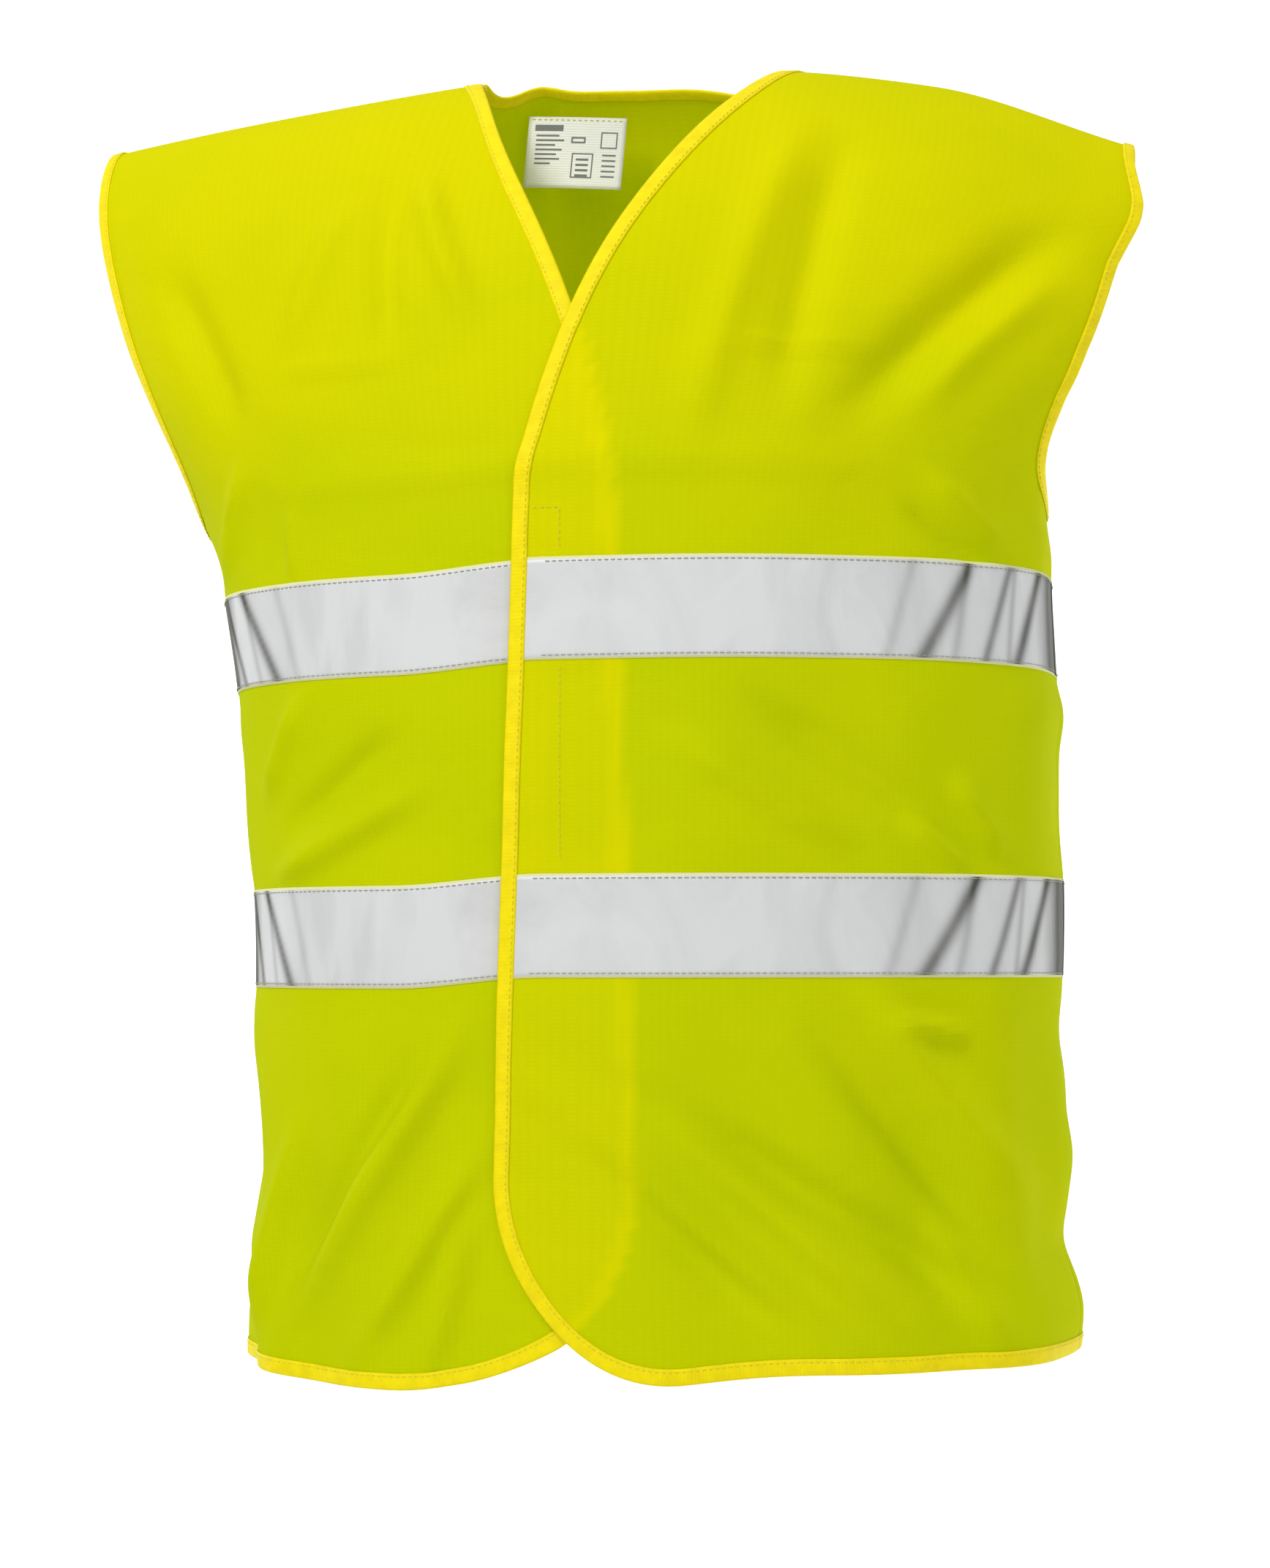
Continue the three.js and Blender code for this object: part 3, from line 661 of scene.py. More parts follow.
def ribbed_binding():
    """Woven polyester binding, folded over and sewn: brighter than the cloth, partly by a painted glow,
    with cross ribs.
    """
    colours = bpy.context.scene.vest_colours
    material, tree = new_material("woven_polyester_binding")
    weave = add_node(tree, "ShaderNodeUVMap", uv_map="weave")
    # Ribs 0.9 mm apart across the tape, and puckers about a stitch long.
    ribs = add_node(
        tree,
        "ShaderNodeTexWave",
        {"Vector": weave.outputs["UV"], "Scale": wave_scale(0.0009), "Distortion": 0.5, "Detail": 1.0},
        bands_direction="Y",
    )
    pucker = add_node(
        tree, "ShaderNodeTexNoise", {"Vector": weave.outputs["UV"], "Scale": 160.0, "Detail": 3.0}
    )
    # Painted shade: the colour is painted darker in the dips of the puckers.
    tone = add_node(
        tree,
        "ShaderNodeMapRange",
        {"Value": pucker.outputs["Fac"], "From Min": 0.3, "From Max": 0.7, "To Min": 0.93, "To Max": 1.05},
    )
    colour = add_node(
        tree,
        "ShaderNodeVectorMath",
        {0: tuple(colours.binding), "Scale": tone.outputs["Result"]},
        operation="SCALE",
    )
    fine = add_node(
        tree, "ShaderNodeBump", {"Strength": 0.3, "Distance": 0.0002, "Height": ribs.outputs["Fac"]}
    )
    soft = add_node(
        tree,
        "ShaderNodeBump",
        {
            "Strength": 0.5,
            "Distance": 0.0008,
            "Height": pucker.outputs["Fac"],
            "Normal": fine.outputs["Normal"],
        },
    )
    # Painted glow: the binding gives out its own colour as an even emission, whatever light falls on it.
    shader = add_node(tree, "ShaderNodeBsdfPrincipled", {
        "Base Color": colour.outputs["Vector"],
        "Roughness": 0.6,
        "IOR": 1.5,
        "Specular IOR Level": 0.15,
        "Emission Color": rgba(colours.binding),
        "Emission Strength": 0.06,
        "Normal": soft.outputs["Normal"],
    })
    finish_material(tree, shader)
    return material


def beaded_tape():
    """Retroreflective glass-bead tape: a pale grey face that creases, with bare fabric edges."""
    colours = bpy.context.scene.vest_colours
    width = bpy.context.scene.vest_sizes.tape_width
    material, tree = new_material("glass_bead_reflective_tape")
    weave = add_node(tree, "ShaderNodeUVMap", uv_map="weave")
    split = add_node(tree, "ShaderNodeSeparateXYZ", {"Vector": weave.outputs["UV"]})
    from_middle = add_node(
        tree, "ShaderNodeMath", {0: split.outputs["Y"], 1: width / 2}, operation="SUBTRACT"
    )
    reach = add_node(tree, "ShaderNodeMath", {0: from_middle.outputs["Value"]}, operation="ABSOLUTE")
    edge = add_node(
        tree,
        "ShaderNodeMapRange",
        {"Value": reach.outputs["Value"], "From Min": width / 2 - 0.0013, "From Max": width / 2 - 0.0010},
    )
    stretched = add_node(
        tree,
        "ShaderNodeMapping",
        {"Vector": weave.outputs["UV"], "Rotation": (0, 0, 0.6), "Scale": (1.0, 0.35, 1.0)},
    )
    crease = add_node(
        tree,
        "ShaderNodeTexNoise",
        {
            "Vector": stretched.outputs["Vector"],
            "Scale": 34.0,
            "Detail": 4.0,
            "Roughness": 0.5,
            "Distortion": 1.2,
        },
    )
    ridge = add_node(
        tree, "ShaderNodeMapRange", {"Value": crease.outputs["Fac"], "From Min": 0.40, "From Max": 0.62}
    )
    turned = add_node(tree, "ShaderNodeAttribute", attribute_name="turned")
    # Painted shade: the beads are painted darker where the tape is creased or bent away round the sides.
    painted_shade = add_node(
        tree,
        "ShaderNodeMath",
        {0: ridge.outputs["Result"], 1: 0.10, 2: turned.outputs["Fac"]},
        operation="MULTIPLY_ADD",
    )
    painted_shade_capped = add_node(tree, "ShaderNodeMath", {0: painted_shade.outputs["Value"], 1: 1.0}, operation="MINIMUM")
    face = add_node(
        tree,
        "ShaderNodeMix",
        {"Factor": painted_shade_capped.outputs["Value"], "A": rgba(colours.tape), "B": rgba(colours.tape_painted_shade)},
        data_type="RGBA",
    )
    colour = add_node(
        tree,
        "ShaderNodeMix",
        {"Factor": edge.outputs["Result"], "A": face.outputs["Result"], "B": rgba(colours.tape_edge)},
        data_type="RGBA",
    )
    metal = add_node(
        tree, "ShaderNodeMapRange", {"Value": edge.outputs["Result"], "To Min": 0.06, "To Max": 0.0}
    )
    rough = add_node(
        tree, "ShaderNodeMapRange", {"Value": edge.outputs["Result"], "To Min": 0.42, "To Max": 0.85}
    )
    # Beads are far too fine to show; a 0.9 mm grain stands for them.
    beads = add_node(tree, "ShaderNodeTexVoronoi", {"Vector": weave.outputs["UV"], "Scale": 1 / 0.0009})
    fine = add_node(
        tree, "ShaderNodeBump", {"Strength": 0.12, "Distance": 0.0002, "Height": beads.outputs["Distance"]}
    )
    soft = add_node(
        tree,
        "ShaderNodeBump",
        {
            "Strength": 0.4,
            "Distance": 0.0025,
            "Height": crease.outputs["Fac"],
            "Normal": fine.outputs["Normal"],
        },
    )
    shader = add_node(tree, "ShaderNodeBsdfPrincipled", {
        "Base Color": colour.outputs["Result"],
        "Metallic": metal.outputs["Result"],
        "Roughness": rough.outputs["Result"],
        "Specular IOR Level": 0.06,
        "Normal": soft.outputs["Normal"],
    })
    finish_material(tree, shader)
    return material


def brushed_pile(name, pitch):
    """Nylon hook or loop pile: matt, deep and tangled."""
    colours = bpy.context.scene.vest_colours
    material, tree = new_material(name)
    weave = add_node(tree, "ShaderNodeUVMap", uv_map="weave")
    pile = add_node(tree, "ShaderNodeTexVoronoi", {"Vector": weave.outputs["UV"], "Scale": 1 / pitch})
    # Painted shade: the pile is painted darker in the hollows between its tufts.
    tone = add_node(
        tree, "ShaderNodeMapRange", {"Value": pile.outputs["Distance"], "To Min": 1.0, "To Max": 0.62}
    )
    colour = add_node(
        tree,
        "ShaderNodeVectorMath",
        {0: tuple(colours.closure), "Scale": tone.outputs["Result"]},
        operation="SCALE",
    )
    bump = add_node(
        tree,
        "ShaderNodeBump",
        {"Strength": 0.8, "Distance": 0.0008, "Height": pile.outputs["Distance"]},
        invert=True,
    )
    shader = add_node(tree, "ShaderNodeBsdfPrincipled", {
        "Base Color": colour.outputs["Vector"],
        "Roughness": 0.95,
        "IOR": 1.53,
        "Sheen Weight": 0.3,
        "Normal": bump.outputs["Normal"],
    })
    finish_material(tree, shader)
    return material


def sewing_thread(name, colour):
    """Spun polyester thread: two plies twisted together, with a slight gloss."""
    material, tree = new_material(name)
    coordinate = add_node(tree, "ShaderNodeTexCoord")
    # Twist of 0.5 mm.
    twist = add_node(
        tree,
        "ShaderNodeTexWave",
        {"Vector": coordinate.outputs["Object"], "Scale": wave_scale(0.0005)},
        bands_direction="DIAGONAL",
    )
    # Painted shade: the thread is painted darker in the grooves of its twist.
    tone = add_node(
        tree, "ShaderNodeMapRange", {"Value": twist.outputs["Fac"], "To Min": 0.82, "To Max": 1.08}
    )
    shown = add_node(
        tree, "ShaderNodeVectorMath", {0: tuple(colour), "Scale": tone.outputs["Result"]}, operation="SCALE"
    )
    bump = add_node(
        tree, "ShaderNodeBump", {"Strength": 0.4, "Distance": 0.0002, "Height": twist.outputs["Fac"]}
    )
    shader = add_node(tree, "ShaderNodeBsdfPrincipled", {
        "Base Color": shown.outputs["Vector"],
        "Roughness": 0.5,
        "IOR": 1.5,
        "Normal": bump.outputs["Normal"],
    })
    finish_material(tree, shader)
    return material


def overlocked_edge():
    """Overlocked seam allowance: thread looped over the raw edge in close slanting turns."""
    colours = bpy.context.scene.vest_colours
    material, tree = new_material("overlocked_polyester_thread")
    weave = add_node(tree, "ShaderNodeUVMap", uv_map="weave")
    slanted = add_node(tree, "ShaderNodeMapping", {"Vector": weave.outputs["UV"], "Rotation": (0, 0, 0.35)})
    # Turns 1.8 mm apart.
    turns = add_node(
        tree,
        "ShaderNodeTexWave",
        {
            "Vector": slanted.outputs["Vector"],
            "Scale": wave_scale(0.0018),
            "Distortion": 1.0,
            "Detail": 1.0,
        },
        bands_direction="Y",
    )
    # Painted shade: the colour is painted darker between the turns of thread.
    tone = add_node(
        tree, "ShaderNodeMapRange", {"Value": turns.outputs["Fac"], "To Min": 0.6, "To Max": 1.05}
    )
    colour = add_node(
        tree,
        "ShaderNodeVectorMath",
        {0: tuple(colours.stitch), "Scale": tone.outputs["Result"]},
        operation="SCALE",
    )
    bump = add_node(
        tree, "ShaderNodeBump", {"Strength": 0.8, "Distance": 0.0006, "Height": turns.outputs["Fac"]}
    )
    shader = add_node(tree, "ShaderNodeBsdfPrincipled", {
        "Base Color": colour.outputs["Vector"],
        "Roughness": 0.65,
        "IOR": 1.5,
        "Normal": bump.outputs["Normal"],
    })
    finish_material(tree, shader)
    return material


def satin_label():
    """White polyester satin: fine floats run across it, so it has a soft sheen and faint ribs."""
    colours = bpy.context.scene.vest_colours
    material, tree = new_material("white_polyester_satin")
    weave = add_node(tree, "ShaderNodeUVMap", uv_map="weave")
    floats = add_node(
        tree,
        "ShaderNodeTexWave",
        {"Vector": weave.outputs["UV"], "Scale": wave_scale(0.0007), "Distortion": 0.4},
        bands_direction="Y",
    )
    cloudy = add_node(
        tree, "ShaderNodeTexNoise", {"Vector": weave.outputs["UV"], "Scale": 90.0, "Detail": 2.0}
    )
    tone = add_node(
        tree, "ShaderNodeMapRange", {"Value": cloudy.outputs["Fac"], "To Min": 0.93, "To Max": 1.04}
    )
    colour = add_node(
        tree,
        "ShaderNodeVectorMath",
        {0: tuple(colours.label), "Scale": tone.outputs["Result"]},
        operation="SCALE",
    )
    bump = add_node(
        tree, "ShaderNodeBump", {"Strength": 0.2, "Distance": 0.0002, "Height": floats.outputs["Fac"]}
    )
    shader = add_node(tree, "ShaderNodeBsdfPrincipled", {
        "Base Color": colour.outputs["Vector"],
        "Roughness": 0.42,
        "IOR": 1.5,
        "Normal": bump.outputs["Normal"],
    })
    finish_material(tree, shader)
    return material


def label_print():
    """Dark grey textile ink, thermally printed, a little uneven."""
    colours = bpy.context.scene.vest_colours
    material, tree = new_material("textile_print_ink")
    coordinate = add_node(tree, "ShaderNodeTexCoord")
    uneven = add_node(
        tree, "ShaderNodeTexNoise", {"Vector": coordinate.outputs["Object"], "Scale": 2400.0, "Detail": 2.0}
    )
    tone = add_node(
        tree, "ShaderNodeMapRange", {"Value": uneven.outputs["Fac"], "To Min": 0.7, "To Max": 1.5}
    )
    colour = add_node(
        tree,
        "ShaderNodeVectorMath",
        {0: tuple(colours.print), "Scale": tone.outputs["Result"]},
        operation="SCALE",
    )
    shader = add_node(
        tree, "ShaderNodeBsdfPrincipled", {"Base Color": colour.outputs["Vector"], "Roughness": 0.7}
    )
    finish_material(tree, shader)
    return material


def backdrop_paper():
    """Seamless studio paper: matt and almost white, with a faint tooth."""
    colours = bpy.context.scene.vest_colours
    material, tree = new_material("seamless_paper")
    coordinate = add_node(tree, "ShaderNodeTexCoord")
    tooth = add_node(
        tree, "ShaderNodeTexNoise", {"Vector": coordinate.outputs["Object"], "Scale": 300.0, "Detail": 3.0}
    )
    bump = add_node(
        tree, "ShaderNodeBump", {"Strength": 0.05, "Distance": 0.0005, "Height": tooth.outputs["Fac"]}
    )
    shader = add_node(
        tree,
        "ShaderNodeBsdfPrincipled",
        {"Base Color": rgba(colours.paper), "Roughness": 0.9, "Normal": bump.outputs["Normal"]},
    )
    finish_material(tree, shader)
    return material


MATERIALS = {}


def finish(name):
    """The named material, made once."""
    colours = bpy.context.scene.vest_colours
    makers = {
        "cloth": fluorescent_knit,
        "binding": ribbed_binding,
        "tape": beaded_tape,
        "hook": lambda: brushed_pile("nylon_hook_pile", 0.0012),
        "loop": lambda: brushed_pile("nylon_loop_pile", 0.0009),
        "thread": lambda: sewing_thread("spun_polyester_thread", colours.stitch),
        "tape_thread": lambda: sewing_thread("spun_polyester_tape_thread", colours.tape_stitch),
        "overlock": overlocked_edge,
        "label": satin_label,
        "print": label_print,
        "paper": backdrop_paper,
    }
    if name not in MATERIALS:
        MATERIALS[name] = makers[name]()
    return MATERIALS[name]


# ---- Making a piece ----
def add_object(name, bm, look):
    """Makes a bmesh an object with its finish, named for the part's material slot."""
    mesh = bpy.data.meshes.new(name)
    bm.to_mesh(mesh)
    bm.free()
    mesh.shade_smooth()
    mesh.materials.append(finish(look))
    piece = bpy.data.objects.new(name, mesh)
    bpy.context.scene.collection.objects.link(piece)
    return piece


def set_pattern(mesh, pattern, marks):
    """Gives a mesh its weave map, in metres of cloth, and its marks, a value at each point."""
    corners = np.empty(len(mesh.loops), np.int32)
    mesh.loops.foreach_get("vertex_index", corners)
    layer = mesh.uv_layers.new(name="weave")
    layer.data.foreach_set("uv", (pattern[corners] * MM).astype(np.float32).ravel())
    for name, values in marks.items():
        attribute = mesh.attributes.new(name, "FLOAT", "POINT")
        attribute.data.foreach_set("value", np.asarray(values, np.float32))


def make_sheet(name, look, across, up, where, thickness=0.0, marks=None):
    """A grid whose crossings go where the function says, from a value of across and one of up."""
    bm = bmesh.new()
    bmesh.ops.create_grid(bm, x_segments=len(across) - 1, y_segments=len(up) - 1, size=0.5)
    flat = np.array([v.co[:2] for v in bm.verts]) + 0.5
    i = np.rint(flat[:, 0] * (len(across) - 1)).astype(int)
    j = np.rint(flat[:, 1] * (len(up) - 1)).astype(int)
    points, pattern = where(np.asarray(across, float)[i], np.asarray(up, float)[j])
    for vertex, point in zip(bm.verts, points * MM):
        vertex.co = point
    shown = marks(np.asarray(across, float)[i], np.asarray(up, float)[j], points) if marks else {}
    piece = add_object(name, bm, look)
    set_pattern(piece.data, pattern, shown)
    if thickness:
        solid = piece.modifiers.new("thickness", "SOLIDIFY")
        solid.thickness = thickness
        solid.offset = -1
    return piece


def steps(start, end, size):
    """Even steps from start to end, each of about this size."""
    return np.linspace(start, end, max(2, int(round(abs(end - start) / size)) + 1))


CLOTH_CELL = 3.6  # side of a cell of the cloth's grid
BACK_REACH, FRONT_REACH = 280.0, 290.0  # from the middle, or the front edge, to the side


def panel_rows():
    """Levels of a panel's grid: close at the hem, the corner and over the shoulder."""
    hem = [1.2, 2.4, 4.2, 6.6, 9.4]
    body = steps(12.6, UNDERARM, CLOTH_CELL)
    share = np.linspace(0, 1, 66)[1:]
    yoke = UNDERARM + (LENGTH - UNDERARM) * (1 - (1 - share) ** 1.6)
    return np.concatenate([hem, body, yoke])


def panel_lines(width):
    """Shares across a panel: even, but close beside the seam at 1."""
    even = np.linspace(0, 1 - 7 / width, int(width / CLOTH_CELL))
    return np.concatenate([even, 1 - np.array([5.2, 3.6, 2.2, 1.1, 0]) / width])


def seam_dip(distance):
    """Cloth turned under and sewn sinks a little beside its seam."""
    return -0.9 * np.exp(-((distance / 1.6) ** 2))


def front_spot(side, share, level, inset=EDGE_INSET):
    """Angle and x of a front at a share of its width, from its edge at 0 to the side at 1."""
    edge = front_angle(side * front_edge(level, inset), level) * side
    angle = side * lerp(edge, armhole_limit(level, inset), share)
    return angle, form(angle, level)[..., 0]


def front_place(side, angle, level, x, height):
    """Where a point of a front hangs: the left front is lifted over the right one."""
    raised = lift(x, level) if side == LEFT else np.zeros(np.shape(x))
    return place(angle, level, height, raised)


FOLD_SOFTNESS = 0.024  # the cloth would bend over this much on either side of the line; nothing bends it


def ride_front(piece, side):
    """Works out the line from the neckline to the hem along which one front would fold open, and bakes the
    piece's place into its mesh.
    """
    name = "left" if side == LEFT else "right"
    joint = next(j for j in frame["joints"] if j["name"] == f"{name}_front_open")
    axis = Vector(joint["axis"]).normalized()
    outboard = Vector((axis.z * side, 0, -axis.x * side)).normalized()
    outboard = (outboard if outboard.x * side > 0 else -outboard) * FOLD_SOFTNESS
    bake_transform(piece)


LENS, SENSOR = 69.9, 36.0  # millimetres
AIM_OVER_HEM, AIM_ASIDE = 0.2895, 0.0048  # where the camera aims, in metres
# Area lights: place, what each is turned to, width, height and watts.
LIGHTS = {
    "key": ((-0.9, -2.3, 1.55), (0, 0, -0.25), 1.0, 1.0, 56),
    "fill": ((1.5, -2.8, 0.2), (0, 0, -0.35), 1.8, 1.8, 13),
    "top": ((0, 0.1, 1.7), (0, 0, 0), 2.0, 1.4, 7),
    "backdrop_left": ((-2.3, 1.0, 0.4), (-0.3, 3.4, -0.2), 1.2, 2.4, 64),
    "backdrop_right": ((2.3, 1.0, 0.4), (0.3, 3.4, -0.2), 1.2, 2.4, 64),
}


class VEST_OT_stage(bpy.types.Operator):
    """Makes the backdrop, the lights and the camera"""

    bl_idname = "vest.stage"
    bl_label = "Stage"

    def execute(self, context):
        sizes = context.scene.vest_sizes
        self.add_camera(context, sizes)
        self.add_backdrop(sizes)
        self.add_lights(context)
        return {"FINISHED"}

    def add_camera(self, context, sizes):
        turn, pitch = sizes.camera_azimuth, sizes.camera_pitch
        ahead = Vector(
            (-math.sin(turn) * math.cos(pitch), math.cos(turn) * math.cos(pitch), math.sin(pitch))
        )
        aside = Vector((math.cos(turn), math.sin(turn), 0))
        data = bpy.data.cameras.new("camera")
        data.lens = LENS
        data.sensor_width = SENSOR
        camera = bpy.data.objects.new("camera", data)
        middle = Vector((0, 0, CAD_BOX[0][2] + AIM_OVER_HEM))
        camera.location = middle + aside * AIM_ASIDE - ahead * sizes.camera_distance
        camera.rotation_euler = ahead.to_track_quat("-Z", "Y").to_euler()
        context.scene.collection.objects.link(camera)
        context.scene.camera = camera

    def add_backdrop(self, sizes):
        """Paper that runs along the floor and curves up behind the vest."""
        floor = CAD_BOX[0][2] - sizes.floor_drop
        near, far, bend, top = -5.0, 3.4, 1.2, 2.6
        bm = bmesh.new()
        bmesh.ops.create_grid(bm, x_segments=2, y_segments=48, size=0.5)
        quarter = bend * math.pi / 2
        straight = far - bend - near
        for vertex in bm.verts:
            run = (vertex.co.y + 0.5) * (straight + quarter + top)
            turn = min(max(0.0, run - straight), quarter) / bend
            wall = max(0.0, run - straight - quarter)
            y = near + min(run, straight) + bend * math.sin(turn)
            z = floor + bend * (1 - math.cos(turn)) + wall
            vertex.co = (vertex.co.x * 14, y, z)
        backdrop = add_object("backdrop", bm, "paper")

    def add_lights(self, context):
        world = bpy.data.worlds.new("studio")
        world.use_nodes = True
        ground = world.node_tree.nodes["Background"]
        ground.inputs["Color"].default_value = rgba(linear("#EEF1F6"))
        ground.inputs["Strength"].default_value = 0.33
        context.scene.world = world
        context.scene.view_settings.view_transform = "Standard"
        for name, (spot, target, wide, high, power) in LIGHTS.items():
            data = bpy.data.lights.new(name, "AREA")
            data.shape = "RECTANGLE"
            data.size, data.size_y, data.energy = wide, high, power
            lamp = bpy.data.objects.new(name, data)
            lamp.location = spot
            lamp.rotation_euler = (Vector(target) - Vector(spot)).to_track_quat("-Z", "Y").to_euler()
            context.scene.collection.objects.link(lamp)


def under_marks(share, level, points):
    """What lies under the left front: the right front, its binding and the hook strip. The cloth is painted
    lighter and yellower over them, as painted show-through light.
    """
    x = points[:, 0]
    reach = -front_edge(level) - x
    double = ramp(reach, -0.5, 1.5)
    band = ramp(reach, -1.5, 0.5) * (1 - ramp(reach, 7.5, 9.5))
    strip_end = front_edge(level) + 26.0
    rows = ramp(level, CLOSURE_BOTTOM - 3, CLOSURE_BOTTOM + 1)
    rows = rows * (1 - ramp(level, CLOSURE_TOP - 1, CLOSURE_TOP + 3))
    closure = (1 - ramp(x, strip_end - 1.5, strip_end + 0.5)) * rows
    return {"under": np.clip(0.6 * double + 0.4 * band + 0.2 * closure, 0, 1)}


class VEST_OT_back_panel(bpy.types.Operator):
    """Makes the back panel, from hem to shoulder seams"""

    bl_idname = "vest.back_panel"
    bl_label = "Back panel"

    def execute(self, context):
        sizes = context.scene.vest_sizes
        half = panel_lines(BACK_REACH)
        across = np.concatenate([-half[::-1], half[1:]])

        def where(share, row):
            angle_top = 180 + share * armhole_limit(LENGTH, EDGE_INSET)
            x_top = form(angle_top, LENGTH)[..., 0]
            neck = NECK_HALF_WIDTH + EDGE_INSET
            dip = (BACK_NECK_DROP + EDGE_INSET * 0.45) * np.sqrt(np.maximum(0, 1 - (x_top / neck) ** 2))
            top = LENGTH - 0.2 - dip
            level = np.where(row > UNDERARM, lerp(UNDERARM, top, rise(row)), row)
            angle = 180 + share * armhole_limit(row, EDGE_INSET)
            aside = (1 - np.abs(share)) * BACK_REACH
            seam = np.where(row < UNDERARM, seam_dip(aside), 0)
            over = np.where(np.abs(x_top) > neck, seam_dip((LENGTH - row) * 1.5), 0)
            height = CLOTH_FACE + seam + over
            pattern = np.stack([angle * ROUND_SCALE, level], axis=-1)
            return place(angle, level, height), pattern

        panel = make_sheet("back_panel_cloth", "cloth", across, panel_rows(), where, sizes.cloth_thickness)
        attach(panel, "vest")
        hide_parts("back_panel")
        return {"FINISHED"}


class VEST_OT_fronts(bpy.types.Operator):
    """Makes the two fronts"""

    bl_idname = "vest.fronts"
    bl_label = "Fronts"

    def execute(self, context):
        for name, side in SIDES.items():
            self.make_front(context, name, side)
        return {"FINISHED"}

    def make_front(self, context, name, side):
        sizes = context.scene.vest_sizes
        lines = panel_lines(FRONT_REACH)
        across = lines if side == LEFT else lines[::-1]

        def where(share, level):
            angle, x = front_spot(side, share, level)
            aside = (1 - share) * FRONT_REACH
            seam = np.where(level < UNDERARM, seam_dip(aside), 0)
            height = CLOTH_FACE + seam + seam_dip((LENGTH - level) * 1.5)
            pattern = np.stack([angle * ROUND_SCALE, level], axis=-1)
            return front_place(side, angle, level, x, height), pattern

        marks = under_marks if side == LEFT else None
        panel = make_sheet(
            f"{name}_front_cloth", "cloth", across, panel_rows(), where, sizes.cloth_thickness, marks
        )
        ride_front(panel, side)
        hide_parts(f"{name}_front_side", f"{name}_front_flap")


# ---- Bindings: places of the edge and of a line inside it, along the path ----
def edge_path(side):
    """The front edge from the neck point, round the corner, along the hem to the side seam."""
    share = np.linspace(0, 1, 90)
    neck = LENGTH - (LENGTH - NECKLINE_END) * share**1.5
    straight = steps(NECKLINE_END, CORNER_RADIUS, 3.4)[1:]
    levels = np.concatenate([neck, straight])
    edge = [(front_edge(level), level) for level in levels]
    inner = [(front_edge(level, MARGIN), level) for level in levels]
    for turn in np.radians(np.linspace(90, 0, 60)[1:]):
        for places, radius in ((edge, CORNER_RADIUS), (inner, CORNER_RADIUS - MARGIN)):
            places.append((CORNER_X - radius * math.sin(turn), CORNER_RADIUS - radius * math.cos(turn)))
    stations = []
    for places in (edge, inner):
        x, level = np.array(places, float).T
        stations.append((front_angle(side * x, level) * side, level))
    start = stations[0][0][-1]
    hem = steps(start, 90, 1.3)[1:]
    (edge_angle, edge_level), (inner_angle, inner_level) = stations
    edge_angle = np.concatenate([edge_angle, hem])
    inner_angle = np.concatenate([inner_angle, hem])
    edge_level = np.concatenate([edge_level, np.zeros(len(hem))])
    inner_level = np.concatenate([inner_level, np.full(len(hem), MARGIN)])
    path = [side * edge_angle, edge_level, side * inner_angle, inner_level]
    return path if side == LEFT else [values[::-1] for values in path]


def nape_path():
    """The back neckline, from the right neck point to the left one."""
    turn = np.linspace(180, 0, 72)
    return [*nape_place(turn), *nape_place(turn, MARGIN)]


def hem_path():
    """The back hem, from the left side seam to the right one."""
    angle = steps(90, 270, 1.3)
    return [angle, np.zeros(len(angle)), angle, np.full(len(angle), MARGIN)]


def armhole_path(side):
    """An armhole's edge, from its front at the shoulder, under the arm, to its back."""
    turn = np.radians(np.linspace(0, 90, 40))
    share = np.linspace(0, 1, 46)[1:]
    straight = ARMHOLE_CENTRE + (LENGTH - ARMHOLE_CENTRE) * (1 - (1 - share) ** 1.7)
    half = []
    for inset in (0.0, MARGIN):
        cut = (ARMHOLE_CUT + inset) / ROUND_SCALE
        angle = np.concatenate([90 - cut * np.sin(turn), np.full(len(straight), 90 - cut)])
        level = np.concatenate([ARMHOLE_CENTRE - (ARMHOLE_ROUND + inset) * np.cos(turn), straight])
        half.append((angle, level))
    path = []
    for angle, level in half:
        path.append(side * np.concatenate([angle, 180 - angle[-2::-1]]))
        path.append(np.concatenate([level, level[-2::-1]]))
    return path if side == LEFT else [values[::-1] for values in path]


def path_frame(path, side):
    """Edge points, the cloth's run inwards for each millimetre, and outward directions."""
    edge_angle, edge_level, inner_angle, inner_level = path

    def stand(angle, level):
        if side != LEFT:
            return place(angle, level)
        x = form(angle, level)[..., 0]
        return place(angle, level, 0.0, np.where(np.abs(angle) < 90, lift(x, level), 0))

    edge, inner = stand(edge_angle, edge_level), stand(inner_angle, inner_level)
    along = unit(np.gradient(edge, axis=0))
    out = unit(np.cross(along, inner - edge))
    return edge, (inner - edge) / MARGIN, out


def run_of(points):
    """How far along a line each of its points lies."""
    return np.concatenate([[0], np.cumsum(np.linalg.norm(np.diff(points, axis=0), axis=1))])


def make_binding(name, path, side=0):
    """A strip folded over an edge: one leaf outside the cloth, one inside."""
    sizes = bpy.context.scene.vest_sizes
    width = sizes.binding_width / MM
    edge, inward, out = path_frame(path, side)
    run = run_of(edge)
    around = np.linspace(-1, 1, 15)
    stations = np.arange(len(edge))

    def where(turn, station):
        i = station.astype(int)
        far = np.abs(turn)
        leaf = np.sqrt(np.clip(1 - (1 - far) ** 7, 0, 1)) + 0.35 * np.sin(math.pi * far**0.8)
        pucker = 0.10 * np.sin(run[i] * 2 * math.pi / 7.3) * np.sin(run[i] * 0.37) * np.sin(math.pi * far)
        height = 0.4 - np.sign(turn) * (0.75 * leaf + pucker)
        inset = -0.25 + (width + 0.25) * far**1.25
        points = edge[i] + inward[i] * inset[:, None] + out[i] * height[:, None]
        return points, np.stack([turn * width, run[i]], axis=-1)

    return make_sheet(name, "binding", around, stations, where, 0.0003)


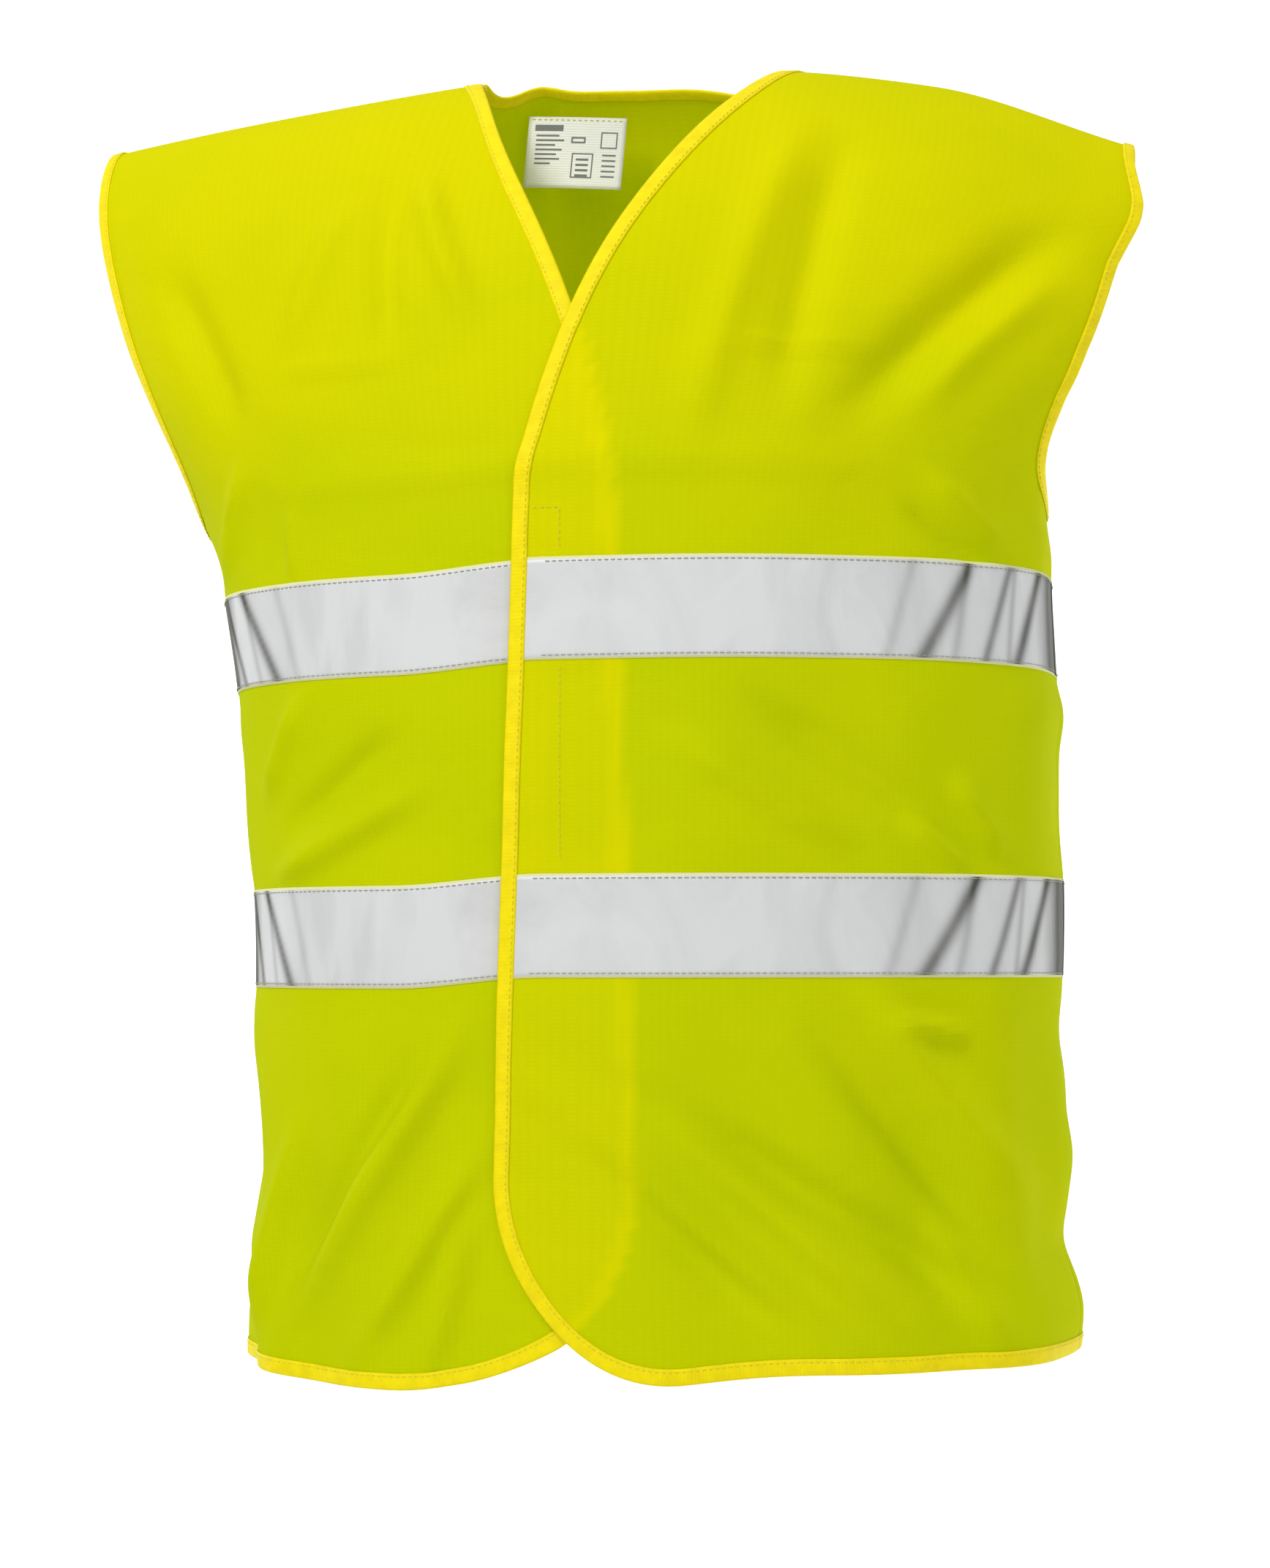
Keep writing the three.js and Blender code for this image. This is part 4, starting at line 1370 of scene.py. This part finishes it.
def make_stitches(name, look, lines):
    """Rows of stitches: short bowed threads whose ends dip in. A line is (points, out)."""
    sizes = bpy.context.scene.vest_sizes
    pitch, radius = sizes.stitch_pitch / MM, sizes.thread_radius / MM
    whole = bmesh.new()
    for points, out in lines:
        run = run_of(points)
        count = max(1, int(run[-1] / pitch))
        bm = bmesh.new()
        bmesh.ops.create_grid(bm, x_segments=5, y_segments=4 * count - 1, size=0.5)
        rings = 4 * count - 1
        flat = np.array([v.co[:2] for v in bm.verts]) + 0.5
        ring = np.rint(flat[:, 1] * rings).astype(int)
        turn = -2 * math.pi * flat[:, 0]
        part = ring % 4
        at = ((ring // 4) + np.array([0.08, 0.3, 0.62, 0.84])[part]) * run[-1] / count
        centre = np.stack([np.interp(at, run, points[:, k]) for k in range(3)], axis=-1)
        up = unit(np.stack([np.interp(at, run, out[:, k]) for k in range(3)], axis=-1))
        ahead = unit(
            np.stack([np.interp(at, run, np.gradient(points[:, k], run)) for k in range(3)], axis=-1)
        )
        across = np.cross(ahead, up)
        bow = np.array([-0.22, 0.16, 0.16, -0.22])[part]
        thick = radius * np.array([0.8, 1.0, 1.0, 0.8])[part]
        threads = centre + up * (
            bow + thick * np.cos(turn)
        )[:, None] + across * (thick * np.sin(turn))[:, None]
        for vertex, point in zip(bm.verts, threads * MM):
            vertex.co = point
        bm.verts.ensure_lookup_table()
        gaps = [f for f in bm.faces if len({ring[v.index] // 4 for v in f.verts}) > 1]
        bmesh.ops.delete(bm, geom=gaps, context="FACES_ONLY")
        bmesh.ops.remove_doubles(bm, verts=bm.verts, dist=1e-6)
        part_mesh = bpy.data.meshes.new("stitch_row")
        bm.to_mesh(part_mesh)
        bm.free()
        whole.from_mesh(part_mesh)
        bpy.data.meshes.remove(part_mesh)
    bmesh.ops.recalc_face_normals(whole, faces=whole.faces)
    return add_object(name, whole, look)


def binding_stitch_line(path, side=0):
    """The row of stitches near the binding's inner edge, on the outside."""
    edge, inward, out = path_frame(path, side)
    width = bpy.context.scene.vest_sizes.binding_width / MM
    return edge + inward * (width - 1.6) + out * (BINDING_FACE - 0.25), out


class VEST_OT_bindings(bpy.types.Operator):
    """Makes the bindings over the front edges, neckline, hem and armholes, with their stitching"""

    bl_idname = "vest.bindings"
    bl_label = "Bindings"

    def execute(self, context):
        for name, side in SIDES.items():
            edge = make_binding(f"{name}_edge_binding", edge_path(side), side)
            stitches = make_stitches(
                f"{name}_edge_stitching", "thread", [binding_stitch_line(edge_path(side), side)]
            )
            ride_front(edge, side)
            ride_front(stitches, side)
            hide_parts(f"{name}_front_binding")
            armhole = make_binding(f"{name}_armhole_edge", armhole_path(side))
            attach(armhole, "vest")
            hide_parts(f"{name}_armhole_binding")
        nape = make_binding("nape_binding", nape_path())
        hem = make_binding("back_hem_binding", hem_path())
        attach(nape, "vest")
        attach(hem, "vest")
        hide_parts("neck_binding")
        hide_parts("hem_binding")
        paths = [nape_path(), hem_path(), armhole_path(LEFT), armhole_path(RIGHT)]
        stitches = make_stitches("back_edge_stitching", "thread", [binding_stitch_line(p) for p in paths])
        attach(stitches, "vest")
        return {"FINISHED"}


# Painted shade of creases beside the side seams: place, lean over the tape's width and reach, in degrees,
# and darkness.
TAPE_CREASE_SHADES = (
    (17, -10, 1.8, 0.8),
    (23, -3, 0.9, 0.3),
    (27, -8, 1.2, 0.6),
    (36, -4, 1.0, 0.25),
    (39, -11, 1.7, 0.7),
    (48, -5, 1.1, 0.2),
)


def tape_shade_marks(angle, level):
    """Painted shade of the tape: how far it is bent away round the sides, with the creases that come with
    it; the tape is painted darker by this share.
    """
    aside = np.abs(np.abs((angle + 180) % 360 - 180) - 90)  # 0 at the side seams
    bent = np.where(np.sin(np.radians(angle)) > 0, 4, 20)  # fully bent away on the left, on the right
    total = 1 - ramp(aside, bent, bent + 12)
    spacing = TAPE_BOTTOM["upper"] - TAPE_BOTTOM["lower"]
    width = bpy.context.scene.vest_sizes.tape_width / MM
    across = ((level - TAPE_BOTTOM["lower"]) % spacing) / width - 0.5
    for at, lean, reach, darkness in TAPE_CREASE_SHADES:
        total = total + darkness * np.exp(-(((aside - at - lean * across) / reach) ** 2))
    return np.clip(total, 0, 1)


class VEST_OT_tapes(bpy.types.Operator):
    """Makes the two bands of reflective tape, with their stitching"""

    bl_idname = "vest.tapes"
    bl_label = "Reflective tape"

    def execute(self, context):
        for band, bottom in TAPE_BOTTOM.items():
            for name, side in SIDES.items():
                self.front_tape(context, band, bottom, name, side)
            self.back_tape(context, band, bottom)
        return {"FINISHED"}

    def stitch_lines(self, where, across, bottom, width):
        lines = []
        inset = 2.2
        for level in (bottom + inset, bottom + width - inset):
            points, _ = where(across, np.full(len(across), level), 0.15)
            off, _ = where(across, np.full(len(across), level), 1.15)
            lines.append((points, off - points))
        return lines

    def front_tape(self, context, band, bottom, name, side):
        sizes = context.scene.vest_sizes
        width = sizes.tape_width / MM
        across = np.linspace(0, 1, 200) if side == LEFT else np.linspace(1, 0, 200)

        def where(share, level, over=0.0):
            angle, x = front_spot(side, share, level, TAPE_INSET)
            height = TAPE_FACE + over + np.where(share > 0.99, -0.3, 0)
            pattern = np.stack([angle * ROUND_SCALE, level - bottom], axis=-1)
            return front_place(side, angle, level, x, height), pattern

        # Painted shade of the tape round the sides.
        def marks(share, level, points):
            return {"turned": tape_shade_marks(front_spot(side, share, level, TAPE_INSET)[0], level)}

        tape = make_sheet(
            f"{name}_front_{band}_tape",
            "tape",
            across,
            steps(bottom, bottom + width, 3.4),
            where,
            sizes.tape_thickness,
            marks,
        )
        short = across[(across > 0.03) & (across < 0.985)]
        stitches = make_stitches(
            f"{name}_front_{band}_tape_stitching",
            "tape_thread",
            self.stitch_lines(where, short, bottom, width),
        )
        ride_front(tape, side)
        ride_front(stitches, side)
        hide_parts(f"{band}_tape_{name}_side", f"{band}_tape_{name}_flap")

    def back_tape(self, context, band, bottom):
        sizes = context.scene.vest_sizes
        width = sizes.tape_width / MM
        across = np.linspace(90.4, 269.6, 280)

        def where(angle, level, over=0.0):
            height = TAPE_FACE + over + np.where(np.abs(angle - 180) > 89, -0.3, 0)
            pattern = np.stack([angle * ROUND_SCALE, level - bottom], axis=-1)
            return place(angle, level, height), pattern

        # Painted shade of the tape round the sides.
        def marks(angle, level, points):
            return {"turned": tape_shade_marks(angle, level)}

        tape = make_sheet(
            f"back_{band}_tape",
            "tape",
            across,
            steps(bottom, bottom + width, 3.4),
            where,
            sizes.tape_thickness,
            marks,
        )
        stitches = make_stitches(
            f"back_{band}_tape_stitching",
            "tape_thread",
            self.stitch_lines(where, across[3:-3], bottom, width),
        )
        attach(tape, "vest")
        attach(stitches, "vest")
        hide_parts(f"{band}_tape_back")


class VEST_OT_closure(bpy.types.Operator):
    """Makes the hook strip inside the left front and the loop strip outside the right one"""

    bl_idname = "vest.closure"
    bl_label = "Hook and loop closure"

    def execute(self, context):
        rows = steps(CLOSURE_BOTTOM, CLOSURE_TOP, 4)
        edge = front_edge(CLOSURE_TOP)
        hook_across = edge + HOOK_INSET + np.linspace(0, HOOK_WIDTH, 6)
        loop_across = np.linspace(LOOP_OUTSET - edge - LOOP_WIDTH, LOOP_OUTSET - edge, 8)

        def strip(side, height):
            def where(x, level):
                angle = front_angle(x, level)
                points = front_place(side, angle, level, x, height)
                return points, np.stack([x, level], axis=-1)

            return where

        hook = make_sheet("hook_tape", "hook", hook_across, rows, strip(LEFT, HOOK_FACE), STRIP_THICKNESS)
        loop = make_sheet("loop_tape", "loop", loop_across, rows, strip(RIGHT, LOOP_FACE), STRIP_THICKNESS)
        ride_front(hook, LEFT)
        ride_front(loop, RIGHT)
        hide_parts("hook_strip")
        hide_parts("loop_strip")
        self.sew_hook(edge)
        return {"FINISHED"}

    def sew_hook(self, edge):
        """The rows that sew the hook strip show on the outside of the left front."""
        rows = steps(CLOSURE_BOTTOM + 2, CLOSURE_TOP - 2, 4)
        below_tape = rows[rows < TAPE_BOTTOM["upper"] - 1]
        over_tape = rows[rows > TAPE_BOTTOM["upper"] + 51]
        inner = edge + HOOK_INSET + HOOK_WIDTH - 1.5
        lines = [self.sewn(np.full(len(part), inner), part) for part in (below_tape, over_tape)]
        lines.append(self.sewn(edge + np.linspace(9.5, 23.0, 5), np.full(5, CLOSURE_TOP - 2)))
        stitches = make_stitches("hook_stitching", "thread", lines)
        ride_front(stitches, LEFT)

    def sewn(self, x, level):
        angle = front_angle(x, level)
        points = front_place(LEFT, angle, level, x, CLOTH_FACE + 0.1)
        off = front_place(LEFT, angle, level, x, CLOTH_FACE + 1.1)
        return points, off - points


class VEST_OT_seams(bpy.types.Operator):
    """Makes the overlocked allowances of the side and shoulder seams, inside the vest"""

    bl_idname = "vest.seams"
    bl_label = "Seams"

    def execute(self, context):
        for name, side in SIDES.items():
            across = np.linspace(-4.5, 4.5, 5)

            def side_seam(offset, level):
                angle = side * 90 + offset / ROUND_SCALE
                return place(angle, level, -1.0), np.stack([offset, level], axis=-1)

            rows = steps(12, UNDERARM - 10, 4)
            seam = make_sheet(f"{name}_side_overlock", "overlock", across, rows, side_seam, 0.0012)
            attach(seam, "vest")
            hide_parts(f"{name}_side_seam")

            start = front_angle(NECK_HALF_WIDTH + 11.0, LENGTH)
            end = armhole_limit(LENGTH) - 5
            along = steps(start, float(end), 1.2) * side
            along = along if side == LEFT else along[::-1]

            def shoulder_seam(angle, offset):
                points = place(angle, LENGTH + offset, -1.0)
                return points, np.stack([offset * 9, angle * ROUND_SCALE], axis=-1)

            seam = make_sheet(
                f"{name}_shoulder_overlock",
                "overlock",
                along,
                np.linspace(-0.35, 0.35, 5),
                shoulder_seam,
                0.0012,
            )
            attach(seam, "vest")
            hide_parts(f"{name}_shoulder_seam")
        return {"FINISHED"}


LABEL_RISE = 11.0  # the nape carries the label this much higher than its joint


class VEST_OT_label(bpy.types.Operator):
    """Makes the care label that hangs inside the neck, with its generic print"""

    bl_idname = "vest.label"
    bl_label = "Care label"

    def surface(self, across, up, height):
        """A place on the label, from its top middle: it bows a little across and curls at its foot."""
        joint = next(j for j in frame["joints"] if j["name"] == "label_flip")
        axis = Vector(joint["axis"]).normalized()
        ahead = np.array([0.0, -1.0, 0.0])
        right = np.array(Vector((-axis.x, 0, -axis.z)) if axis.x < 0 else axis)
        down = np.array([right[2], 0, -right[0]])
        bow = 0.8 * np.cos(across / 27.5 * math.pi / 2) + 2.2 * (up / 40) ** 2
        start = np.array(joint["pos_m"]) / MM + (0, 0, LABEL_RISE)
        flat = start + across[:, None] * right + up[:, None] * down
        return flat + (bow + height)[:, None] * ahead

    def execute(self, context):
        sizes = context.scene.vest_sizes
        half, drop = sizes.label_width / MM / 2, sizes.label_height / MM

        def cloth(across, up):
            points = self.surface(across, -up, np.full(len(across), 0.3))
            return points, np.stack([across, up], axis=-1)

        label = make_sheet(
            "care_label_satin",
            "label",
            np.linspace(-half, half, 24),
            np.linspace(-drop, 0, 18),
            cloth,
            0.0003,
        )
        marks = self.print_marks(half)
        stitches = self.stitches(half)
        for piece in (label, marks, stitches):
            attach(piece, "label")
        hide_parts("care_label")
        return {"FINISHED"}

    def print_marks(self, half):
        """Plain bars and boxes for print: from the left, from the top, width, height."""
        bars = [(4, 4.5, 16, 3.4)]
        bars += [(5, 10 + 2.6 * i, width, 1.0) for i, width in enumerate((13, 16, 11, 15, 12, 14, 9))]
        bars += [(25, 11, 8, 0.9), (25, 13.6, 8, 0.9), (25, 11, 0.9, 3.5), (32.1, 11, 0.9, 3.5)]
        bars += [(26, 20, 12, 0.7), (26, 33.3, 12, 0.7), (26, 20, 0.7, 14), (37.3, 20, 0.7, 14)]
        bars += [(28.5, 23 + 3 * i, 7, 1.2) for i in range(4)]
        bars += [(41.5, 8, 0.7, 9), (50, 8, 0.7, 9), (41.5, 8, 9.2, 0.7), (41.5, 16.5, 9.2, 0.7)]
        bars += [(43, 20.5 + 3.0 * i, 7.5, 0.9) for i in range(5)]
        whole = bmesh.new()
        for left, top, width, height in bars:
            bm = bmesh.new()
            bmesh.ops.create_grid(
                bm, x_segments=max(1, int(width / 2)), y_segments=max(1, int(height / 2)), size=0.5
            )
            flat = np.array([v.co[:2] for v in bm.verts]) + 0.5
            across = -half + left + flat[:, 0] * width
            up = top + (1 - flat[:, 1]) * height
            points = self.surface(across, up, np.full(len(across), 0.42))
            for vertex, point in zip(bm.verts, points * MM):
                vertex.co = point
            mesh = bpy.data.meshes.new("bar")
            bm.to_mesh(mesh)
            bm.free()
            whole.from_mesh(mesh)
            bpy.data.meshes.remove(mesh)
        return add_object("care_label_print", whole, "print")

    def stitches(self, half):
        across = np.linspace(-half + 1.5, half - 1.5, 30)
        up = np.full(30, 1.6)
        points = self.surface(across, up, np.full(30, 0.35))
        out = self.surface(across, up, np.full(30, 1.35)) - points
        return make_stitches("care_label_stitching", "thread", [(points, out)])


class VEST_PT_pieces(bpy.types.Panel):
    """Lists the pieces of the vest"""

    bl_idname = "VEST_PT_pieces"
    bl_label = "High visibility vest"
    bl_space_type = "VIEW_3D"
    bl_region_type = "UI"
    bl_category = "Vest"

    def draw(self, context):
        for operator in PIECES:
            self.layout.operator(operator.bl_idname)
        for group in (context.scene.vest_sizes, context.scene.vest_colours):
            column = self.layout.column(align=True)
            for name in type(group).__annotations__:
                column.prop(group, name)


PIECES = (
    VEST_OT_stage,
    VEST_OT_back_panel,
    VEST_OT_fronts,
    VEST_OT_bindings,
    VEST_OT_tapes,
    VEST_OT_closure,
    VEST_OT_seams,
    VEST_OT_label,
)
CLASSES = (VestSizes, VestColours, *PIECES, VEST_PT_pieces)


def register():
    for item in CLASSES:
        bpy.utils.register_class(item)
    bpy.types.Scene.vest_sizes = PointerProperty(type=VestSizes)
    bpy.types.Scene.vest_colours = PointerProperty(type=VestColours)


def unregister():
    del bpy.types.Scene.vest_colours
    del bpy.types.Scene.vest_sizes
    for item in reversed(CLASSES):
        bpy.utils.unregister_class(item)


def main():
    register()
    for operator in PIECES:
        group, name = operator.bl_idname.split(".")
        getattr(getattr(bpy.ops, group), name)()
    bpy.context.view_layer.update()


if __name__ == "__main__":
    main()
